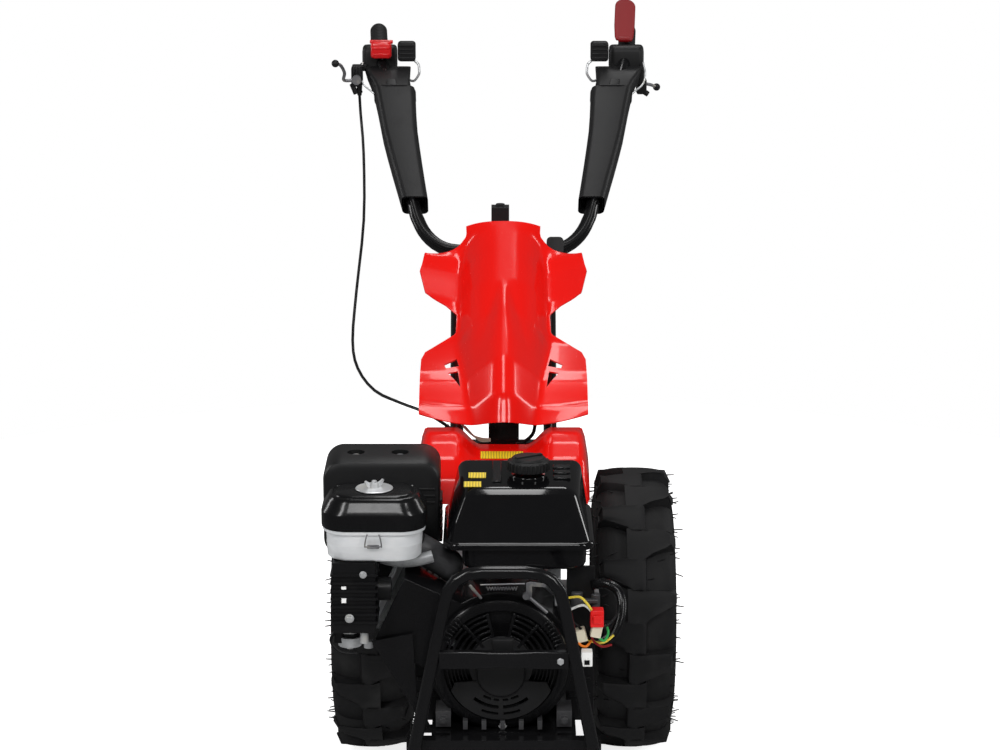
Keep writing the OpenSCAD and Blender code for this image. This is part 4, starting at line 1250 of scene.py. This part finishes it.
def hood_point(share, side):
    """A place on the upper hood: share of its length, and side from -1 to 1 across it."""
    x = side * lookup(HOOD_OUTLINE, share)
    core = lookup([(0, 58), (0.2, 67), (0.45, 84), (0.8, 84), (1, 76)], share)
    deep = lookup([(0, 24), (0.1, 40), (0.5, 62), (0.85, 60), (0.95, 44), (1, 14)], share)
    wing = lookup([(0, 0.16), (0.3, 0), (0.5, 0.16), (0.7, -0.25), (0.9, -0.25), (0.95, 0.16)], share)
    fade = min(1.0, max(0.68 - share, 0.0) * 6.0)
    nose_width = lookup([(0, 56), (0.35, 50), (0.68, 14)], share)
    nose = 18.0 * fade * math.cos(math.pi / 2 * min(abs(x) / nose_width, 1.0)) ** 2
    drop = deep * min(abs(x) / core, 1.0) ** 2.6 + wing * max(abs(x) - core, 0.0) - nose + 14.0 * fade
    lean = math.radians(lookup([(0, 62), (0.12, 40), (0.3, 24)], share))
    lift = 30.0 * side * side * max(0.0, 1.0 - share * 7.0)
    return (
        x, lookup(HOOD_CREST_PLACE, share) + drop * math.sin(lean),
        lookup(HOOD_CREST_HEIGHT, share) - drop * math.cos(lean) + lift)


def cover_point(share, side):
    """A place on the lower cover, from its front foot over the top to its back edge."""
    x = side * lookup([(0, 150), (0.3, 157), (1, 157)], share)
    rise = ease((abs(x) - 42.0) / 47.0)
    fall = max(abs(x) - 143.0, 0.0) / 14.0
    strength = lookup([(0, 0.5), (0.25, 0.75), (0.5, 0.95), (0.75, 1)], share)
    lobe = strength * (33.0 * rise - 14.0) - 50.0 * fall ** 2.2
    return (
        x, lookup([(0, -118), (0.25, -98), (0.5, -68), (0.75, -24), (0.9, 20), (1, 60)], share),
        lookup([(0, 486), (0.25, 524), (0.5, 550), (0.75, 566), (0.9, 574), (1, 572)], share) + lobe)


def draped(point, across, rows, rounds):
    """A moulded shell laid over a rule for its surface and relaxed between its rims."""
    shape = bmesh.new()
    made = bmesh.ops.create_grid(shape, x_segments=across, y_segments=rows, size=0.5)
    for vert in made["verts"]:
        vert.co = Vector(point(vert.co.y + 0.5, vert.co.x * 2.0))
    inner = [vert for vert in shape.verts if not vert.is_boundary]
    for _ in range(rounds):
        bmesh.ops.smooth_vert(
            shape, verts=inner, factor=0.5, use_axis_x=True, use_axis_y=True, use_axis_z=True)
    bmesh.ops.recalc_face_normals(shape, faces=shape.faces)
    if sum(face.normal.z for face in shape.faces) < 0.0:
        bmesh.ops.reverse_faces(shape, faces=shape.faces)
    bmesh.ops.solidify(shape, geom=shape.faces[:], thickness=SHELL_WALL)
    return shape


def make_covers():
    hood = keep(
        draped(hood_point, 72, 110, 4), "upper_hood_moulding", RED, "column", smooth=50.0,
        replaces="upper_hood")
    gaps = bmesh.new()
    upper = [(-7, 464), (16.5, 445), (13, 430), (-12, 437)]
    lower = [(-10, 418), (9, 412), (-15, 366)]
    for side in (-1, 1):
        for outline in (upper, lower):
            corner = Matrix.Translation((side * 96, 0, 0))
            place = corner @ turned(24, "X") @ Matrix.Translation((0, 0, 500))
            add_prism(gaps, [(side * x, y) for x, y in outline], place, 400.0)
    cut(hood, gaps)
    keep(
        draped(cover_point, 60, 48, 3), "lower_cover_moulding", RED, "chassis",
        smooth=50.0, replaces="lower_cover")
    label = bmesh.new()
    add_block(label, (-42, -22, 553.4), (36, 7, 554.2), turned(10.3, "X", 3))
    bmesh.ops.translate(label, verts=label.verts, vec=(0, 0, 2.6))
    keep(label, "cover_label", LABEL_YELLOW, "chassis")
    hose = bmesh.new()
    thick = [(85, 96, 596), (84, 96, 570), (91, 94, 557), (103, 94, 559), (109, 96, 574)]
    thin = [(60, 92, 600), (56, 90, 572), (40, 88, 556), (24, 90, 552)]
    add_hose(hose, curve_points(thick, 6), 5.0, 14)
    add_hose(hose, curve_points(thin, 6), 3.4, 12)
    keep(hose, "cover_gap_hoses", SHEATH_BLACK, "chassis", smooth=60.0)
    wires = bmesh.new()
    for k in range(3):
        path = [
            (-82 + k * 5, 92, 592 - k * 4), (-62 + k * 4, 90, 570 - k * 3), (-42, 88, 562 - k * 3),
            (-24, 90, 560 - k * 2)]
        add_hose(wires, curve_points(path, 6), 1.5, 8)
    keep(wires, "cover_gap_wires", CONNECTOR_IVORY, "chassis", smooth=60.0)


make_covers()


# ---- Column, bars, handles ----

def make_column():
    dressed("steering_column", FRAME_BLACK, bevel=1.2)
    dressed("handlebar", FRAME_BLACK, bevel=0.0, smooth=60.0)
    for node in ("cables_left", "cables_right"):
        dressed(node, SHEATH_BLACK, bevel=0.0, smooth=60.0)
    for node in ("gear_lever", "key_box"):
        dressed(node, PLASTIC_BLACK, bevel=2.4, segments=3)


SLEEVE_TILT = -48
GRIP_RIBS = 11
GRIP_PITCH = 9.4


def section(at, width, depth, corner, tilt):
    """A rounded rectangle across the handle, tilted back about X."""
    turn = turned(tilt, "X", 3)
    return [Vector(at) + turn @ Vector((x, y, 0)) for x, y in round_outline(width, depth, corner, 6)]


def make_handle(side):
    """Sleeve, collar, grip and release lever of one handle; side is -1 for the left one."""
    hand = "left" if side < 0 else "right"

    def at(x, y, z):
        """A place given for the left handle, moved to this one."""
        return (-side * x, y, z)

    def ring(centre, width, depth, corner, tilt=SLEEVE_TILT):
        return [at(*p) for p in section(centre, width, depth, corner, tilt)]

    outline = [
        ((-181, 692, 890), 54, 60, 12), ((-190, 726, 921), 58.5, 61.5, 12), ((-199, 760, 952), 63.5, 63, 12),
        ((-207, 792, 981), 68, 64.5, 12), ((-214, 822, 1008), 72, 66, 12), ((-219, 852, 1035), 76, 69, 12),
        ((-223, 880, 1059), 80.5, 71.5, 12), ((-228, 906, 1082), 84, 74, 12),
    ]
    sleeve = bmesh.new()
    outer = [ring(c, w, d, r) for c, w, d, r in outline]
    inner = [ring(c, w - 8, d - 8, r - 4) for c, w, d, r in outline]
    add_loft(sleeve, outer + inner[::-1], close_ends=False)
    keep(
        sleeve, f"sleeve_{hand}_moulding", PLASTIC_BLACK, "column", smooth=45.0,
        replaces=f"sleeve_{hand}")
    lip = bmesh.new()
    path = ring((-228, 906, 1082), 85, 75, 24)
    add_hose(lip, path + [path[0]], 1.9, 8)
    keep(lip, f"sleeve_{hand}_lip", PLASTIC_BLACK, "column", smooth=60.0)

    head = bmesh.new()
    add_layers(head, [
        (1128, 72, 46, 9), (1134, 74, 47, 10), (1166, 74, 47, 12), (1174, 72, 42, 12),
        (1178, 66, 32, 10)], Matrix.Translation((side * 263, 998.5, 0)))
    neck = [
        ((-229, 905, 1080), 74, 60, SLEEVE_TILT), ((-236, 926, 1098), 80, 54, SLEEVE_TILT),
        ((-243, 952, 1116), 90, 46, -36), ((-247, 984, 1134), 100, 38, -12),
    ]
    add_loft(head, [ring(c, w, d, 10, tilt) for c, w, d, tilt in neck])
    keep(
        head, f"collar_{hand}_head", PLASTIC_BLACK, "column", smooth=45.0, bevel=0.8,
        replaces=f"collar_{hand}")
    strip = bmesh.new()
    add_loft(strip, [ring(c, 20, 4, 1.5) for c in ((-231, 884, 1100), (-236, 903, 1119))])
    for x, top in ((-262, 1128), (-205, 1132)):
        verts = add_block(strip, (x - 7, 966, top - 9), (x + 7, 976, top))
        bmesh.ops.scale(strip, verts=verts, vec=(-side, 1, 1))
    keep(strip, f"collar_{hand}_strip", HEAT_BLACK, "column", bevel=0.8)
    clamp = bmesh.new()
    if side < 0:
        add_layers(
            clamp, [(1098, 20, 32, 4), (1102, 24, 36, 5), (1136, 24, 36, 5), (1142, 20, 30, 4)],
            Matrix.Translation((-310, 954, 0)))
        for k in range(4):
            add_block(clamp, (-321 + k * 6, 934, 1126), (-318 + k * 6, 938, 1141))
        add_block(clamp, (-304, 960, 1128), (-290, 990, 1142))
        add_rod(clamp, (-305, 948, 1104), (-305, 948, 1078), 6.5, 24, 4.6)
        add_rod(clamp, (-305, 948, 1088), (-305, 948, 1084), 7.4, 6)
        add_rod(clamp, (-321, 944, 1104), (-312, 944, 1082), 5.5, 16)
    else:
        add_layers(
            clamp, [(1072, 18, 30, 4), (1076, 22, 34, 5), (1101, 22, 34, 5), (1106, 18, 30, 4)],
            Matrix.Translation((297, 1017, 0)))
        add_layers(
            clamp, [(1096, 12, 30, 3), (1128, 14, 33, 4), (1134, 10, 29, 3)],
            Matrix.Translation((295, 1001.5, 0)))
        add_rod(clamp, (300, 1016, 1078), (312, 1016, 1070), 6, 20)
    keep(clamp, f"collar_{hand}_clamp", PLASTIC_BLACK, "column", bevel=0.9, smooth=40.0)
    wire_path = [
        (-298, 966, 1146), (-302, 952, 1124), (-296, 936, 1104), (-280, 922, 1092), (-272, 918, 1086)]
    bright = bmesh.new()
    add_hose(bright, curve_points([at(*p) for p in wire_path], 6), 1.9, 10)
    add_rod(bright, at(-262, 968, 1126), at(-262, 968, 1136), 5.5, 20)
    keep(bright, f"collar_{hand}_wire", STEEL, "column", smooth=50.0)
    grip = bmesh.new()
    start, end = Vector(at(-264.4, 1026, 1161.4)), Vector(at(-271.5, 1148, 1189.9))
    length = (end - start).length
    profile = [(14, 0), (18.2, 0), (19.2, 2), (19.2, 6), (18.4, 8)]
    for k in range(GRIP_RIBS):
        h = 12 + k * GRIP_PITCH
        profile += [(17.6, h), (18.4, h + 1.2), (18.4, h + 6.6), (17.6, h + 7.8)]
    profile += [(18.4, length - 4), (17.6, length - 1), (15, length), (0.01, length)]
    add_lathe(grip, profile, along(start, end), 48)
    keep(
        grip, f"grip_{hand}_rubber", GRIP_BLACK, "column", smooth=35.0,
        replaces=f"grip_{hand}")

    hook = bmesh.new()
    centre_x = side * 204.5
    add_layers(hook, [(-11, 34, 38, 6), (-8, 38, 42, 7), (8, 38, 42, 7), (13, 34, 38, 6)],
               Matrix.Translation((centre_x, 962, 1170.5)) @ turned(90, "X"))
    for k in range(4):
        add_block(hook, (centre_x - 17, 947.5, 1155 + k * 9), (centre_x + 17, 952, 1159.5 + k * 9))
    keep(
        hook, f"release_{hand}_block", PLASTIC_BLACK, f"{hand}_release", bevel=1.4,
        replaces=f"release_lever_{hand}", smooth=40.0)
    wire = bmesh.new()
    loop = [
        (-190, 960, 1152), (-180, 954, 1144), (-178, 951, 1132), (-179, 950, 1122), (-190, 954, 1108),
        (-206, 966, 1112)]
    add_hose(wire, curve_points([at(*p) for p in loop], 8), 2.6, 14)
    keep(wire, f"release_{hand}_loop", STEEL, f"{hand}_release", smooth=60.0)


PADDLE_HALF = 22
PADDLE_REACH = 96


def make_levers():
    thumb = bmesh.new()
    add_layers(thumb, [(-11, 40, 32, 6), (-8, 44, 36, 7), (7, 44, 36, 7), (11, 41, 33, 7), (13, 36, 28, 6)],
               Matrix.Translation((-258.5, 962, 1173.5)) @ turned(90, "X"))
    for k in range(2):
        add_block(thumb, (-277, 947.5, 1162 + k * 14), (-240, 951.5, 1167 + k * 14))
    add_rod(thumb, (-283, 972, 1189), (-234, 972, 1189), 4, 20)
    keep(
        thumb, "stop_lever_block", BUTTON_RED, "stop_lever", bevel=1.4, smooth=40.0,
        replaces="thumb_lever")

    paddle = bmesh.new()
    half, reach = PADDLE_HALF, PADDLE_REACH
    outline = [(-17, -2), (17, -2), (20, 8), (half, 40), (half, reach)]
    for degrees in range(10, 180, 10):
        a = math.radians(degrees)
        outline.append((half * math.cos(a), reach + half * math.sin(a)))
    outline += [(-half, reach), (-half, 40), (-20, 8)]
    place = Matrix.Translation((258, 1010, 1186)) @ turned(5, "Y") @ turned(40, "X")
    add_prism(paddle, outline, place, 6.0)
    add_rod(paddle, (246, 1010, 1189), (270, 1010, 1189), 6, 24)
    keep(
        paddle, "clutch_paddle", LEVER_RED, "clutch", bevel=2.2, segments=4,
        replaces="clutch_lever")
    rib = bmesh.new()
    inner = [(x * 0.8, 8 + y * 0.84) for x, y in outline]
    add_prism(rib, inner, place @ Matrix.Translation((0, 0, -1.0)), 2.0)
    keep(rib, "clutch_paddle_rib", LEVER_RED, "clutch", bevel=0.8)

    arm = bmesh.new()
    path = [(-312, 928, 1114), (-336, 924, 1114), (-334, 905, 1132), (-340, 885, 1150), (-349, 873, 1157)]
    add_hose(arm, curve_points(path, 6), 3.5, 14)
    add_rod(arm, (-310, 934.7, 1114), (-310, 922.7, 1114), 10, 32)
    keep(arm, "throttle_arm", LEVER_GREY, "throttle", smooth=45.0, replaces="throttle_lever")
    ball = bmesh.new()
    add_ball(ball, (-351, 870, 1157), 8.0)
    keep(ball, "throttle_ball", PLASTIC_BLACK, "throttle", smooth=180.0)

    arm = bmesh.new()
    add_hose(arm, curve_points([(300, 1041, 1090), (317, 1044, 1087), (330, 1054, 1081)], 6), 3.5, 14)
    add_rod(arm, (297, 1047, 1090), (297, 1034.4, 1090), 9, 32)
    keep(arm, "side_arm", LEVER_GREY, "side_control", smooth=45.0, replaces="side_lever")
    ball = bmesh.new()
    add_ball(ball, (332, 1056, 1080), 8.0)
    keep(ball, "side_ball", PLASTIC_BLACK, "side_control", smooth=180.0)


make_column()
make_handle(-1)
make_handle(1)
make_levers()


# ---- Rear hitch ----

def make_hitch():
    dressed("hitch", GEARBOX_IRON, bevel=2.0)
    dressed("hitch_pin", STEEL, bevel=0.8)
    dressed("prop_stand", FRAME_BLACK, bevel=1.5)


make_hitch()
